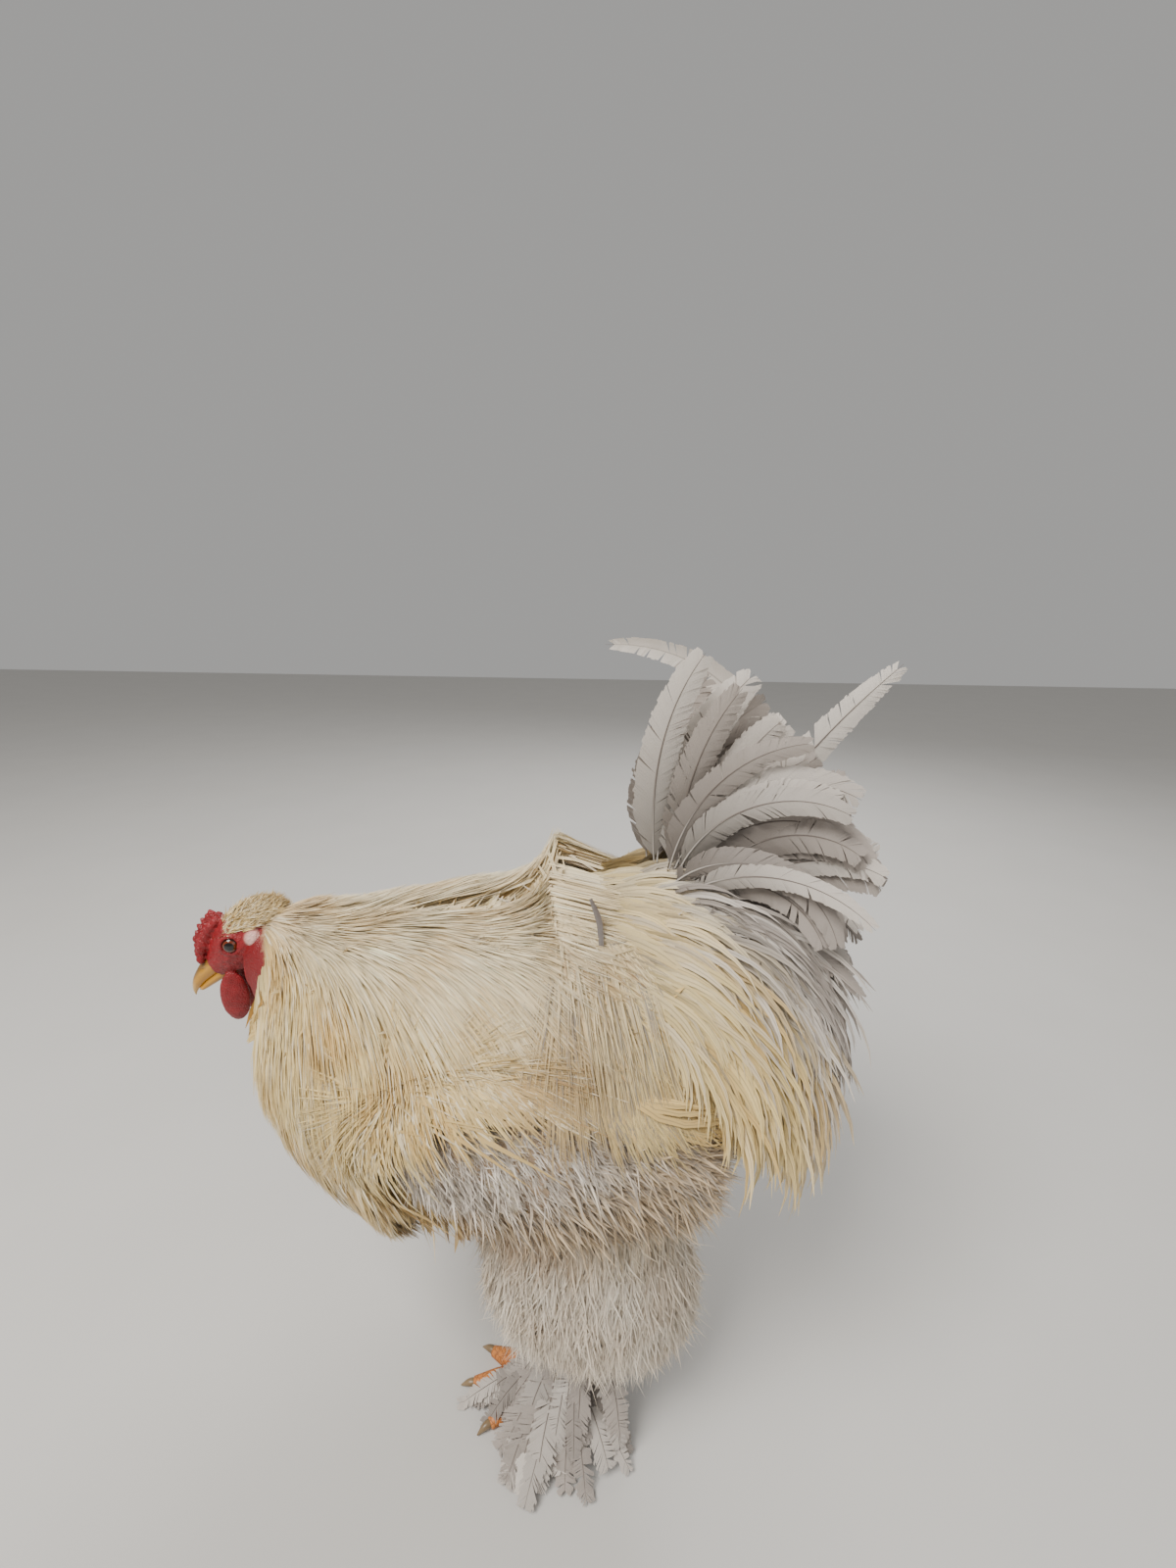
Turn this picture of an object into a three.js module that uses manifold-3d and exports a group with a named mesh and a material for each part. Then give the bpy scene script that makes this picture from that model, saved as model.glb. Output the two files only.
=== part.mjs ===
// A Brahma cock standing with its head lowered, at life size, in millimetres.
// The bird faces -X, +Z is up, and the origin lies on the floor under the middle of its box.
// Its trunk is one long tube of plumage, cut across into neck, torso and rump. Wings, thighs and tail
// grow from that tube, and long feathers are flat tapered vanes draped over it from their roots.
import * as THREE from "three";
import { mergeVertices } from "three/addons/utils/BufferGeometryUtils.js";
import Module from "manifold-3d";

const wasm = await Module();
wasm.setup();

// Driving dimensions
const GAP = 0.3;
const LEG_SPREAD = 74;
const SEED = 11;
const FEATHER_FLOOR = 2.4;

const v = (x, y, z) => new THREE.Vector3(x, y, z);
const mix = THREE.MathUtils.lerp;
const smooth = THREE.MathUtils.smoothstep;
const DOWN = v(0, 0, -1);

// Seeded draws, so that every run gives the same bird
let seedState = SEED;
const draw = () => {
  seedState = (seedState * 16807) % 2147483647;
  return seedState / 2147483647;
};
const vary = (amount) => (draw() * 2 - 1) * amount;

// Solids and how they are joined

function solidOf(geometry) {
  const bare = new THREE.BufferGeometry();
  bare.setAttribute("position", geometry.getAttribute("position").clone());
  bare.setIndex(geometry.getIndex());
  const merged = mergeVertices(bare, 1e-3);
  const vertProperties = Float32Array.from(merged.getAttribute("position").array);
  const triVerts = Uint32Array.from(merged.index.array);
  const made = new wasm.Manifold(new wasm.Mesh({ numProp: 3, vertProperties, triVerts }));
  if (made.volume() >= 0) return made;
  for (let i = 0; i < triVerts.length; i += 3) {
    [triVerts[i + 1], triVerts[i + 2]] = [triVerts[i + 2], triVerts[i + 1]];
  }
  return new wasm.Manifold(new wasm.Mesh({ numProp: 3, vertProperties, triVerts }));
}

// A closed solid through rings of points with equal counts, each end closed by a fan round its middle.
function loft(rings) {
  const around = rings[0].length;
  const points = rings.flat();
  const index = [];
  for (let i = 0; i + 1 < rings.length; i++) {
    for (let j = 0; j < around; j++) {
      const a = i * around + j;
      const b = i * around + ((j + 1) % around);
      index.push(a, a + around, b, b, a + around, b + around);
    }
  }
  for (const end of [0, rings.length - 1]) {
    const middle = rings[end].reduce((sum, p) => sum.add(p), v(0, 0, 0)).divideScalar(around);
    points.push(middle);
    for (let j = 0; j < around; j++) {
      const a = end * around + j;
      const b = end * around + ((j + 1) % around);
      index.push(...(end ? [a, points.length - 1, b] : [a, b, points.length - 1]));
    }
  }
  const geometry = new THREE.BufferGeometry().setFromPoints(points);
  geometry.setIndex(index);
  return solidOf(geometry);
}

const join = (solids) => solids.reduce((whole, piece) => whole.add(piece));
const cut = (solid, ...tools) => tools.reduce((left, tool) => left.subtract(tool), solid);

// Keeps the largest closed surface, so that a loose scrap or a sealed hollow goes.
function largest(solid) {
  return solid.decompose().reduce((best, piece) => (piece.volume() > best.volume() ? piece : best));
}

function geometryOf(solid) {
  const mesh = solid.getMesh();
  const geometry = new THREE.BufferGeometry();
  geometry.setAttribute("position", new THREE.BufferAttribute(Float32Array.from(mesh.vertProperties), 3));
  geometry.setIndex(new THREE.BufferAttribute(Uint32Array.from(mesh.triVerts), 1));
  geometry.computeVertexNormals();
  return geometry;
}

// An ellipsoid with the given half sizes, placed and turned by a matrix.
function ellipsoid(halfX, halfY, halfZ, place, segments = 14, rows = 9) {
  const ball = new THREE.SphereGeometry(1, segments, rows);
  ball.scale(halfX, halfY, halfZ);
  if (place) ball.applyMatrix4(place);
  return solidOf(ball);
}

// The trunk: stations along its spine give the height above and below the spine and the half width
// of the plumage, square to the spine.
const STATIONS = [
  { x: -262, z: 374, above: 28, below: 34, beside: 25 },
  { x: -232, z: 354, above: 50, below: 64, beside: 60 },
  { x: -190, z: 326, above: 86, below: 104, beside: 100 },
  { x: -138, z: 303, above: 110, below: 124, beside: 130 },
  { x: -80, z: 291, above: 120, below: 130, beside: 146 },
  { x: -20, z: 292, above: 136, below: 130, beside: 150 },
  { x: 36, z: 307, above: 152, below: 122, beside: 142 },
  { x: 80, z: 337, above: 138, below: 108, beside: 120 },
  { x: 110, z: 376, above: 100, below: 70, beside: 88 },
  { x: 124, z: 414, above: 66, below: 36, beside: 52 },
];
const NECK_END = 0.36;
const RUMP_START = 0.66;
const spine = new THREE.CatmullRomCurve3(STATIONS.map((s) => v(s.x, 0, s.z)), false, "catmullrom", 0.5);
const girth = new THREE.CatmullRomCurve3(STATIONS.map((s) => v(s.above, s.below, s.beside)), false, "catmullrom", 0.5);

// Where the spine is at t, its way along, its upper side, and the plumage's reach round it
function frameAt(t) {
  const at = spine.getPoint(t);
  const along = spine.getTangent(t);
  const reach = girth.getPoint(t);
  return { t, at, along, up: v(-along.z, 0, along.x), above: reach.x, below: reach.y, beside: reach.z };
}
const FRAMES = Array.from({ length: 91 }, (_, k) => frameAt(k / 90));

// A point of the trunk at t and angle (0 at the back, PI at the belly), grown outwards by an amount.
function trunkPoint(f, angle, grown) {
  const c = Math.cos(angle);
  const tall = (c > 0 ? f.above : f.below) + grown;
  const p = f.at.clone().addScaledVector(f.up, tall * c);
  p.y += (f.beside + grown) * Math.sin(angle);
  return p;
}

// How far the solid core lies inside the outline: deep under the long feathers of neck, back and flanks,
// and at the surface on the belly, where no long feather grows.
const COAT_DEPTH = 22;
const BELLY_FROM = 1.9;
const coatDepth = (t, angle) => mix(6, COAT_DEPTH, smooth(t, 0, 0.2)) * (1 - smooth(t, 0.9, 1))
  * (1 - smooth(t, 0.3, 0.42) * smooth(Math.abs(angle), BELLY_FROM, BELLY_FROM + 0.5));

function trunkSolid(start, end, grown = 0, steps = 5, around = 20) {
  const rings = [];
  for (let i = 0; i <= steps; i++) {
    const f = frameAt(mix(start, end, i / steps));
    const push = i === 0 ? -grown : i === steps ? grown : 0;
    const ring = [];
    for (let j = 0; j < around; j++) {
      const angle = ((j + 0.5) / around) * 2 * Math.PI - Math.PI;
      const p = trunkPoint(f, angle, grown - coatDepth(f.t, angle));
      ring.push(p.addScaledVector(f.along, push));
    }
    rings.push(ring);
  }
  return loft(rings);
}

// How high a point lies over the trunk's outline, and which way is out
function overTrunk(p) {
  let best = null;
  for (const f of FRAMES) {
    const off = p.clone().sub(f.at);
    const along = Math.abs(off.dot(f.along));
    const u = off.dot(f.up);
    const tall = u > 0 ? f.above : f.below;
    const share = Math.hypot(u / tall, p.y / f.beside);
    const score = along + 12 * share;
    if (!best || score < best.score) best = { f, u, tall, share, score };
  }
  const { f, u, tall, share } = best;
  const out = f.up.clone().multiplyScalar(u / (tall * tall));
  out.y = p.y / (f.beside * f.beside);
  out.normalize();
  const radius = Math.hypot(u, p.y) / Math.max(share, 1e-6);
  return { height: (share - 1) * radius, out, t: f.t, angle: Math.atan2(p.y / f.beside, u / tall) };
}

// How high a point lies over an ellipsoid, and which way is out
function overBlob(p, blob) {
  const q = p.clone().applyMatrix4(blob.inverse);
  const share = q.length();
  const size = blob.half.x * blob.half.y * blob.half.z;
  const out = v(q.x / blob.half.x, q.y / blob.half.y, q.z / blob.half.z).applyQuaternion(blob.turn).normalize();
  const reach = q.clone().multiply(blob.half).length() / Math.max(share, 1e-6);
  return { height: (share - 1) * Math.min(reach, Math.cbrt(size)), out };
}

function blobOf(centre, half, turn) {
  const place = new THREE.Matrix4().compose(centre, turn, v(1, 1, 1));
  const inverse = new THREE.Matrix4().compose(centre, turn, half).invert();
  return { centre, half, turn, place, inverse };
}

// Long feathers

// How much of its height over the trunk's core a feather keeps over a wing or thigh
const PILE = 0.4;

// A feather's path: from its root it runs along its heading and falls by its pull. Hug (0 to 1) keeps it to
// the trunk, at the height that lift gives for the share of its length. Blobs push it clear.
function drape({ root, heading, length, pull = 0, hug = 1, steps = 3, lift, blobs = [] }) {
  const path = [{ at: root.clone(), out: overTrunk(root).out }];
  const way = heading.clone().normalize();
  let out = path[0].out;
  for (let i = 1; i <= steps; i++) {
    way.addScaledVector(DOWN, pull / steps);
    way.addScaledVector(out, -hug * way.dot(out)).normalize();
    const last = path[path.length - 1].at;
    const p = last.clone().addScaledVector(way, length / steps);
    const trunk = overTrunk(p);
    const need = lift(i / steps, trunk.t, trunk.angle) - trunk.height;
    p.addScaledVector(trunk.out, need > 0 ? need : need * hug);
    out = trunk.out;
    for (const blob of blobs) {
      const over = overBlob(p, blob);
      const lack = blob.clear + PILE * (lift(i / steps, trunk.t, trunk.angle) + COAT_DEPTH) - over.height;
      if (lack > 0) {
        p.addScaledVector(over.out, lack);
        out = over.out;
      }
    }
    way.copy(p).sub(last).normalize();
    path.push({ at: p, out: out.clone() });
  }
  return path;
}

// How wide a feather is along its length: hackles end in a point, tail feathers in a round end.
const pointed = (t) => Math.min(1, 0.5 + 1.6 * t) * (1 - Math.pow(t, 2.6));
const rounded = (t) => Math.min(1, 0.4 + 1.8 * t) * (1 - 0.72 * Math.pow(t, 6));

// A flat vane along a path, with a ridge along its quill. Both faces are split alike.
function vane(path, { width, thick = 1.4, shape = pointed, cup = 0.12, grown = 0 }) {
  const rings = [];
  const last = path.length - 1;
  for (let i = 0; i <= last; i++) {
    const way = path[Math.min(i + 1, last)].at.clone().sub(path[Math.max(i - 1, 0)].at).normalize();
    const side = way.clone().cross(path[i].out).normalize();
    const out = side.clone().cross(way).normalize();
    const half = Math.max(0.35, (width / 2) * shape(i / last));
    const deep = (i === last ? 0.3 : thick / 2) + 1.5 * grown;
    const at = path[i].at.clone().addScaledVector(way, i === last ? 2 * grown : 0);
    rings.push([
      at.clone().addScaledVector(side, half + 2 * grown).addScaledVector(out, -cup * half),
      at.clone().addScaledVector(out, deep),
      at.clone().addScaledVector(side, -half - 2 * grown).addScaledVector(out, -cup * half),
      at.clone().addScaledVector(out, -deep),
    ]);
  }
  return vaneSolid(rings);
}

// Rings of four points: edge, ridge, edge, underside. Ends are closed with two triangles.
function vaneSolid(rings) {
  const index = [];
  const last = rings.length - 1;
  for (let i = 0; i < last; i++) {
    const a = 4 * i;
    const b = a + 4;
    index.push(a, b, a + 1, a + 1, b, b + 1);
    index.push(a, a + 3, b, b, a + 3, b + 3);
    index.push(a + 2, a + 1, b + 2, b + 2, a + 1, b + 1);
    index.push(a + 2, b + 2, a + 3, a + 3, b + 2, b + 3);
  }
  const end = 4 * last;
  index.push(0, 1, 3, 1, 2, 3);
  index.push(end, end + 3, end + 1, end + 1, end + 3, end + 2);
  const geometry = new THREE.BufferGeometry().setFromPoints(rings.flat());
  geometry.setIndex(index);
  return solidOf(geometry);
}

// Materials
const paint = (color, roughness) => new THREE.MeshStandardMaterial({ color, roughness, metalness: 0 });
const straw = paint("#d9c79a", 0.7);
const cream = paint("#cdbfa8", 0.75);
const lavender = paint("#b3aaa0", 0.7);
const comb_red = paint("#b3121c", 0.5);
const lobe_pink = paint("#d9a49b", 0.55);
const horn = paint("#c98f2d", 0.4);
const shank_yellow = paint("#d8924a", 0.55);
const claw_horn = paint("#8a6f52", 0.45);
const iris = paint("#8c3a10", 0.2);

const bird = new THREE.Group();
function addNode(name, solid, material, parent = bird) {
  const mesh = new THREE.Mesh(geometryOf(largest(solid)), material);
  mesh.name = name;
  parent.add(mesh);
  return mesh;
}

// Head: its own frame has the eyes at the origin's height, and it faces -X when level.
const HEAD_AT = v(-276, 0, 371);
const HEAD_PITCH = THREE.MathUtils.degToRad(-34);
const HEAD_YAW = THREE.MathUtils.degToRad(10);
const EYE_BESIDE = 16.5;
const EYE_RADIUS = 6.4;
const headTurn = new THREE.Quaternion()
  .setFromAxisAngle(v(0, 0, 1), HEAD_YAW)
  .multiply(new THREE.Quaternion().setFromAxisAngle(v(0, 1, 0), HEAD_PITCH));
const headPlace = new THREE.Matrix4().compose(HEAD_AT, headTurn, v(1, 1, 1));
const headDown = DOWN.clone().applyQuaternion(headTurn.clone().invert());

// Rings square to X: each section gives x, middle height, half height and half width.
function headLoft(sections, grown = 0, around = 12) {
  return loft(sections.map(([x, z, tall, wide], i) => {
    const push = i === 0 ? grown : i === sections.length - 1 ? -grown : 0;
    return Array.from({ length: around }, (_, j) => {
      const a = (j / around) * 2 * Math.PI;
      return v(x + push, (wide + grown) * Math.sin(a), z + (tall + grown) * Math.cos(a));
    });
  }));
}
const SKULL = [
  [33, -3, 7, 6], [28, -3, 15, 13], [16, -3, 21, 18.5], [2, -4, 22.5, 19.5],
  [-11, -6, 19.5, 17], [-21, -8, 15, 13], [-29, -10, 11, 10],
];
const UPPER_BEAK = [
  [-25, -8, 9.5, 8.5], [-33, -8.5, 8.2, 7.4], [-42, -10, 6.6, 5.8], [-51, -13, 4.6, 3.9], [-57, -17, 2.6, 2.0],
  [-59.5, -20.5, 0.9, 0.7],
];
const LOWER_BEAK = [
  [-22, -20, 4.6, 7], [-32, -19.6, 4.0, 5.9], [-42, -20.4, 3.0, 4.3], [-51, -22, 1.5, 2.0],
];
const beakUpper = headLoft(UPPER_BEAK);
const beakLower = headLoft(LOWER_BEAK);
const skull = headLoft(SKULL);

// A ball flattened to a lobe, in the head's frame, hung along a direction.
function hangingLobe(root, fall, halves, lean) {
  const turn = new THREE.Quaternion().setFromUnitVectors(v(0, 0, -1), fall.clone().normalize());
  const leanTurn = new THREE.Quaternion().setFromAxisAngle(v(1, 0, 0), lean);
  const place = new THREE.Matrix4().compose(
    root.clone().addScaledVector(fall, halves.z * 0.8), leanTurn.multiply(turn), v(1, 1, 1));
  return ellipsoid(halves.x, halves.y, halves.z, place, 10, 7);
}

// A solid of the head's frame, set in the bird's frame, to keep other nodes clear of it
function placed(solid) {
  return solidOf(geometryOf(solid).applyMatrix4(headPlace));
}

const head = new THREE.Group();
head.position.copy(HEAD_AT);
head.quaternion.copy(headTurn);
bird.add(head);

const sides = [["left", -1], ["right", 1]];
const eyeBalls = sides.map(([, side]) =>
  ellipsoid(EYE_RADIUS, EYE_RADIUS * 0.8, EYE_RADIUS, new THREE.Matrix4().makeTranslation(0, side * EYE_BESIDE, 0), 12, 8));
const eyeHoles = sides.map(([, side]) => ellipsoid(
  EYE_RADIUS + GAP, EYE_RADIUS * 0.8 + GAP, EYE_RADIUS + GAP,
  new THREE.Matrix4().makeTranslation(0, side * EYE_BESIDE, 0), 12, 8));

// The rim of lids round each eye
const lids = (grown = 0) => sides.map(([, side]) => {
  const ring = new THREE.TorusGeometry(EYE_RADIUS + 1.2, 2 + grown, 5, 12);
  ring.rotateX(Math.PI / 2);
  ring.translate(0, side * (EYE_BESIDE + 1.4), 0);
  return solidOf(ring);
});

// The pea comb: three rows of knobs along a low ridge from the nostrils to the crown
const COMB_ROWS = [-1, 0, 1];
const COMB_KNOBS = 4;
function combSolid() {
  const spineOfComb = new THREE.CatmullRomCurve3([v(-35, 0, 1), v(-29, 0, 8), v(-20, 0, 14), v(-10, 0, 19), v(-1, 0, 22)]);
  const pieces = [];
  for (const row of COMB_ROWS) {
    for (let k = 0; k < COMB_KNOBS; k++) {
      const share = (k + 0.5) / COMB_KNOBS;
      const at = spineOfComb.getPoint(share);
      const high = (row ? 4.2 : 7.5) * (0.75 + 0.5 * Math.sin(Math.PI * share)) * (1 + vary(0.15));
      const place = new THREE.Matrix4().compose(
        v(at.x, row * 5.2 + vary(0.4), at.z + (row ? -1.5 : 1)),
        new THREE.Quaternion().setFromAxisAngle(v(0, 1, 0), vary(0.3)), v(1, 1, 1));
      pieces.push(ellipsoid(5.6, 3.5, high, place, 6, 4));
    }
  }
  return join(pieces);
}
const comb = combSolid();

const WATTLE = v(11, 3.2, 23);
const LOBE = v(8, 2.6, 21);
const wattles = sides.map(([, side]) => hangingLobe(v(-22, side * 8.5, -23), headDown, WATTLE, side * -0.1));
const redLobes = sides.map(([, side]) => hangingLobe(v(3, side * 17.5, -16), headDown, LOBE, side * -0.12));
const whiteLobes = sides.map(([, side]) => ellipsoid(
  7.5, 3.4, 5.5, new THREE.Matrix4().makeTranslation(17, side * 18.5, -3), 8, 6));


const headSolid = cut(join([skull, ...lids()]), ...eyeHoles);
// Nostrils: a slot on each side of the beak's root
const nostrils = sides.map(([, side]) => ellipsoid(
  3.4, 1.8, 1.1, new THREE.Matrix4().makeTranslation(-37, side * 6.6, -6), 6, 4));
addNode("beak_upper", cut(beakUpper, ...nostrils), horn, head);
addNode("beak_lower", cut(beakLower, headLoft(UPPER_BEAK, GAP)), horn, head);
const beakRoom = join([headLoft(UPPER_BEAK, GAP), headLoft(LOWER_BEAK, GAP)]);
addNode("head", cut(headSolid, beakRoom), comb_red, head);
const skullRoom = join([headLoft(SKULL, GAP), headLoft(UPPER_BEAK, GAP), headLoft(LOWER_BEAK, GAP), ...lids(GAP)]);
addNode("comb", cut(comb, skullRoom), comb_red, head);
const headRooms = [];
sides.forEach(([side], i) => {
  const lobe = join([redLobes[i], whiteLobes[i]]);
  headRooms.push(placed(lobe), placed(wattles[i]));
  addNode(`eye_${side}`, eyeBalls[i], iris, head);
  addNode(`wattle_${side}`, cut(wattles[i], skullRoom), comb_red, head);
  addNode(`earlobe_${side}`, cut(lobe, skullRoom), lobe_pink, head);
});

// Wings: each is a pad on the trunk's side, with its quills in overlapping tiers towards the tail
const WING_AT = v(-22, 118, 282);
const WING_HALF = v(104, 25, 56);
function wingBlob(side, grown = 0) {
  const turn = new THREE.Quaternion().setFromEuler(new THREE.Euler(side * -0.16, 0.1, side * -0.04));
  const half = WING_HALF.clone().addScalar(grown);
  return blobOf(v(WING_AT.x, side * WING_AT.y, WING_AT.z), half, turn);
}
function wingBody(side, grown = 0) {
  const blob = wingBlob(side, grown);
  return ellipsoid(blob.half.x, blob.half.y, blob.half.z, blob.place, 16, 8);
}

// Thighs: a full tuft of soft feathers from the flank down past the hock
const THIGH_SECTIONS = [
  { z: 258, x: -2, y: 66, long: 60, wide: 46 },
  { z: 215, x: 2, y: 80, long: 78, wide: 56 },
  { z: 165, x: 8, y: 88, long: 84, wide: 53 },
  { z: 122, x: 14, y: 88, long: 76, wide: 44 },
  { z: 92, x: 22, y: 84, long: 50, wide: 29 },
  { z: 80, x: 26, y: 82, long: 22, wide: 14 },
];
function thighBody(side, grown = 0, around = 14) {
  return loft(THIGH_SECTIONS.map((s, i) => Array.from({ length: around }, (_, j) => {
    const a = (j / around) * 2 * Math.PI;
    const lift = i === 0 ? grown : i === THIGH_SECTIONS.length - 1 ? -grown : 0;
    return v(s.x + (s.long + grown) * Math.cos(a), side * s.y + (s.wide + grown) * Math.sin(a), s.z + lift);
  })));
}
const thighBlob = (side) => ({
  ...blobOf(v(8, side * 86, 160), v(80, 50, 84), new THREE.Quaternion()), clear: 3,
});

const WING_FEATHER_ROOM = 7;
const RUMP_END = 0.86;
const trunkCore = {
  neck: trunkSolid(0, NECK_END), torso: trunkSolid(NECK_END, RUMP_START),
  rump: trunkSolid(RUMP_START, RUMP_END, 0, 4), tail: trunkSolid(RUMP_END, 1, 0, 3),
};
const trunkRoom = {
  neck: trunkSolid(0, NECK_END, GAP), torso: trunkSolid(NECK_END, RUMP_START, GAP),
  rump: trunkSolid(RUMP_START, RUMP_END, GAP, 4), tail: trunkSolid(RUMP_END, 1, GAP, 3),
};
const trunkRooms = Object.values(trunkRoom);
const wingRoom = sides.map(([, side]) => wingBody(side, WING_FEATHER_ROOM));
const thighRoom = sides.map(([, side]) => thighBody(side, GAP));
const wingBlobs = sides.map(([, side]) => ({ ...wingBlob(side), clear: WING_FEATHER_ROOM + 2 }));
const thighBlobs = sides.map(([, side]) => thighBlob(side));

// The way a feather at a root on the trunk runs: back along the spine and down its flank
function flow(t, angle, fall) {
  const a = trunkPoint(frameAt(t), angle, 0);
  const b = trunkPoint(frameAt(Math.min(1, t + 0.03)), angle + Math.sign(Math.sin(angle)) * fall, 0);
  return b.sub(a).normalize();
}

// Rows of long feathers round the trunk, each rooted just inside its core. A row reaches the same angle on
// both sides of the back, and its feathers shorten by its trim towards its ends. Each vane comes with the
// room that other nodes leave it.
function coatRows(rows, { blobs }) {
  const vanes = [];
  const rooms = [];
  rows.forEach((row, r) => {
    const perSide = row.count / 2;
    for (let k = 0; k < row.count; k++) {
      const side = k % 2 ? 1 : -1;
      const rank = Math.floor(k / 2);
      const share = (rank + 0.3 + 0.4 * (r % 2) + vary(0.12)) / perSide;
      const angle = side * row.reach * share;
      const t = row.t + vary(0.005);
      const depth = (at, round) => coatDepth(at, round);
      const path = drape({
        root: trunkPoint(frameAt(t), angle, -coatDepth(t, angle) - 4),
        heading: flow(t, angle, row.fall),
        length: row.length * (1 - (row.trim ?? 0) * share * share) * (1 + vary(0.08)),
        pull: row.pull,
        lift: (along, at, round) => mix(-depth(at, round) + 1, 0, along) - 2.4 * (rank % 2) * (1 - along / 2),
        blobs,
      });
      const shape = row.shape ?? pointed;
      vanes.push(vane(path, { width: row.width, thick: 2.2, shape }));
      rooms.push(vane(path, { width: row.width, thick: 2.2, shape, grown: GAP }));
    }
  });
  return { vanes, room: join([...rooms, ...vanes]) };
}

// Neck hackles form a cape over breast, shoulders and back, and the saddle's long hackles fall from where
// it ends over the flanks and wings.
const hackle = coatRows([
  { t: 0.05, count: 6, reach: 2.8, length: 84, width: 38, pull: 0.8, fall: 0 },
  { t: 0.13, count: 8, reach: 2.95, length: 110, width: 50, pull: 0.8, fall: 0 },
  { t: 0.22, count: 8, reach: 2.95, length: 120, width: 70, pull: 0.7, fall: 0.02 },
  { t: 0.3, count: 8, reach: 2.95, length: 122, width: 76, pull: 0.5, fall: 0.02 },
  { t: 0.35, count: 6, reach: 1.5, length: 140, width: 62, pull: 0.4, fall: 0.02, trim: 0.2 },
], { blobs: wingBlobs });
const saddle = coatRows([
  { t: 0.69, count: 6, reach: 1.4, length: 160, width: 56, pull: 1.1, fall: 0.05, trim: 0.3 },
  { t: 0.77, count: 6, reach: 1.45, length: 155, width: 46, pull: 1.3, fall: 0.08, trim: 0.35 },
  { t: 0.83, count: 4, reach: 1.5, length: 140, width: 46, pull: 1.5, fall: 0.08, trim: 0.35 },
], { blobs: [...wingBlobs, ...thighBlobs] });

// The tail: a pad on top of the rump carries the fan, and coverts arch over its sides
const TAIL_PAD_AT = v(92, 0, 440);
const TAIL_PAD_HALF = v(56, 36, 30);
const tailTurn = new THREE.Quaternion().setFromAxisAngle(v(0, 1, 0), 0.25);
function tailPad(grown = 0) {
  const half = TAIL_PAD_HALF.clone().addScalar(grown);
  return ellipsoid(half.x, half.y, half.z, blobOf(TAIL_PAD_AT, half, tailTurn).place, 12, 6);
}

// A tail feather starts at a root, rises at an angle over the floor, leans to its side by its splay, and
// turns back and down by its curl, more towards the tip by its droop.
function plume({ root, rise, splay, length, width, curl, droop = 0, steps = 4 }) {
  const side = Math.sign(root.y) || 1;
  const way = v(Math.cos(rise), side * splay, Math.sin(rise)).normalize();
  const path = [{ at: root.clone(), out: v(0, side, 0) }];
  for (let i = 1; i <= steps; i++) {
    way.applyAxisAngle(v(0, 1, 0), (curl + droop * (2 * i / steps - 1)) / steps);
    const at = path[i - 1].at.clone().addScaledVector(way, length / steps);
    path.push({ at, out: v(0, side, 0.2) });
  }
  return vane(path, { width, thick: 2.2, shape: rounded });
}
// Each tier's feathers pass from its front to its back: roots, rise, splay and length change evenly.
const TAIL_TIERS = [
  { pairs: 4, front: v(46, 5, 446), back: v(124, 12, 440), rise: [1.72, 0.95], splay: [0.1, 0.2],
    length: [156, 96], width: 46, curl: [0.9, 0.4], droop: 0.5 },
  { pairs: 4, front: v(60, 22, 446), back: v(122, 22, 430), rise: [1.55, 0.65], splay: [0.3, 0.32],
    length: [160, 92], width: 42, curl: [1.8, 1.3], droop: 0.6 },
  { pairs: 4, front: v(70, 32, 436), back: v(116, 26, 408), rise: [0.95, 0.1], splay: [0.5, 0.35],
    length: [138, 84], width: 38, curl: [2.2, 1.4], droop: 0.3 },
  { pairs: 2, front: v(92, 50, 386), back: v(102, 34, 362), rise: [-0.2, -0.6], splay: [0.45, 0.25],
    length: [100, 84], width: 42, curl: [0.9, 0.6], droop: 0.1 },
];
// Two feathers go ways of their own: one bends forward over the fan, one stands out behind it.
const STRAY_PLUMES = [
  { root: v(124, 14, 446), rise: 0.95, splay: 0.06, length: 236, width: 26, curl: -2.25, droop: 0.5, steps: 7 },
  { root: v(112, -8, 452), rise: 1.15, splay: 0.1, length: 172, width: 24, curl: 0.35 },
];
const tailVanes = TAIL_TIERS.flatMap((tier) => Array.from({ length: tier.pairs }, (_, i) => {
  const share = i / (tier.pairs - 1);
  return sides.map(([, side]) => {
    const root = tier.front.clone().lerp(tier.back, share);
    root.y *= side;
    return plume({
      root, rise: mix(...tier.rise, share) + vary(0.05), splay: mix(...tier.splay, share) + vary(0.03),
      length: mix(...tier.length, share) * (1 + vary(0.05)), width: tier.width,
      curl: mix(...tier.curl, share), droop: tier.droop,
    });
  });
}).flat()).concat(STRAY_PLUMES.map(plume));

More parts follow.
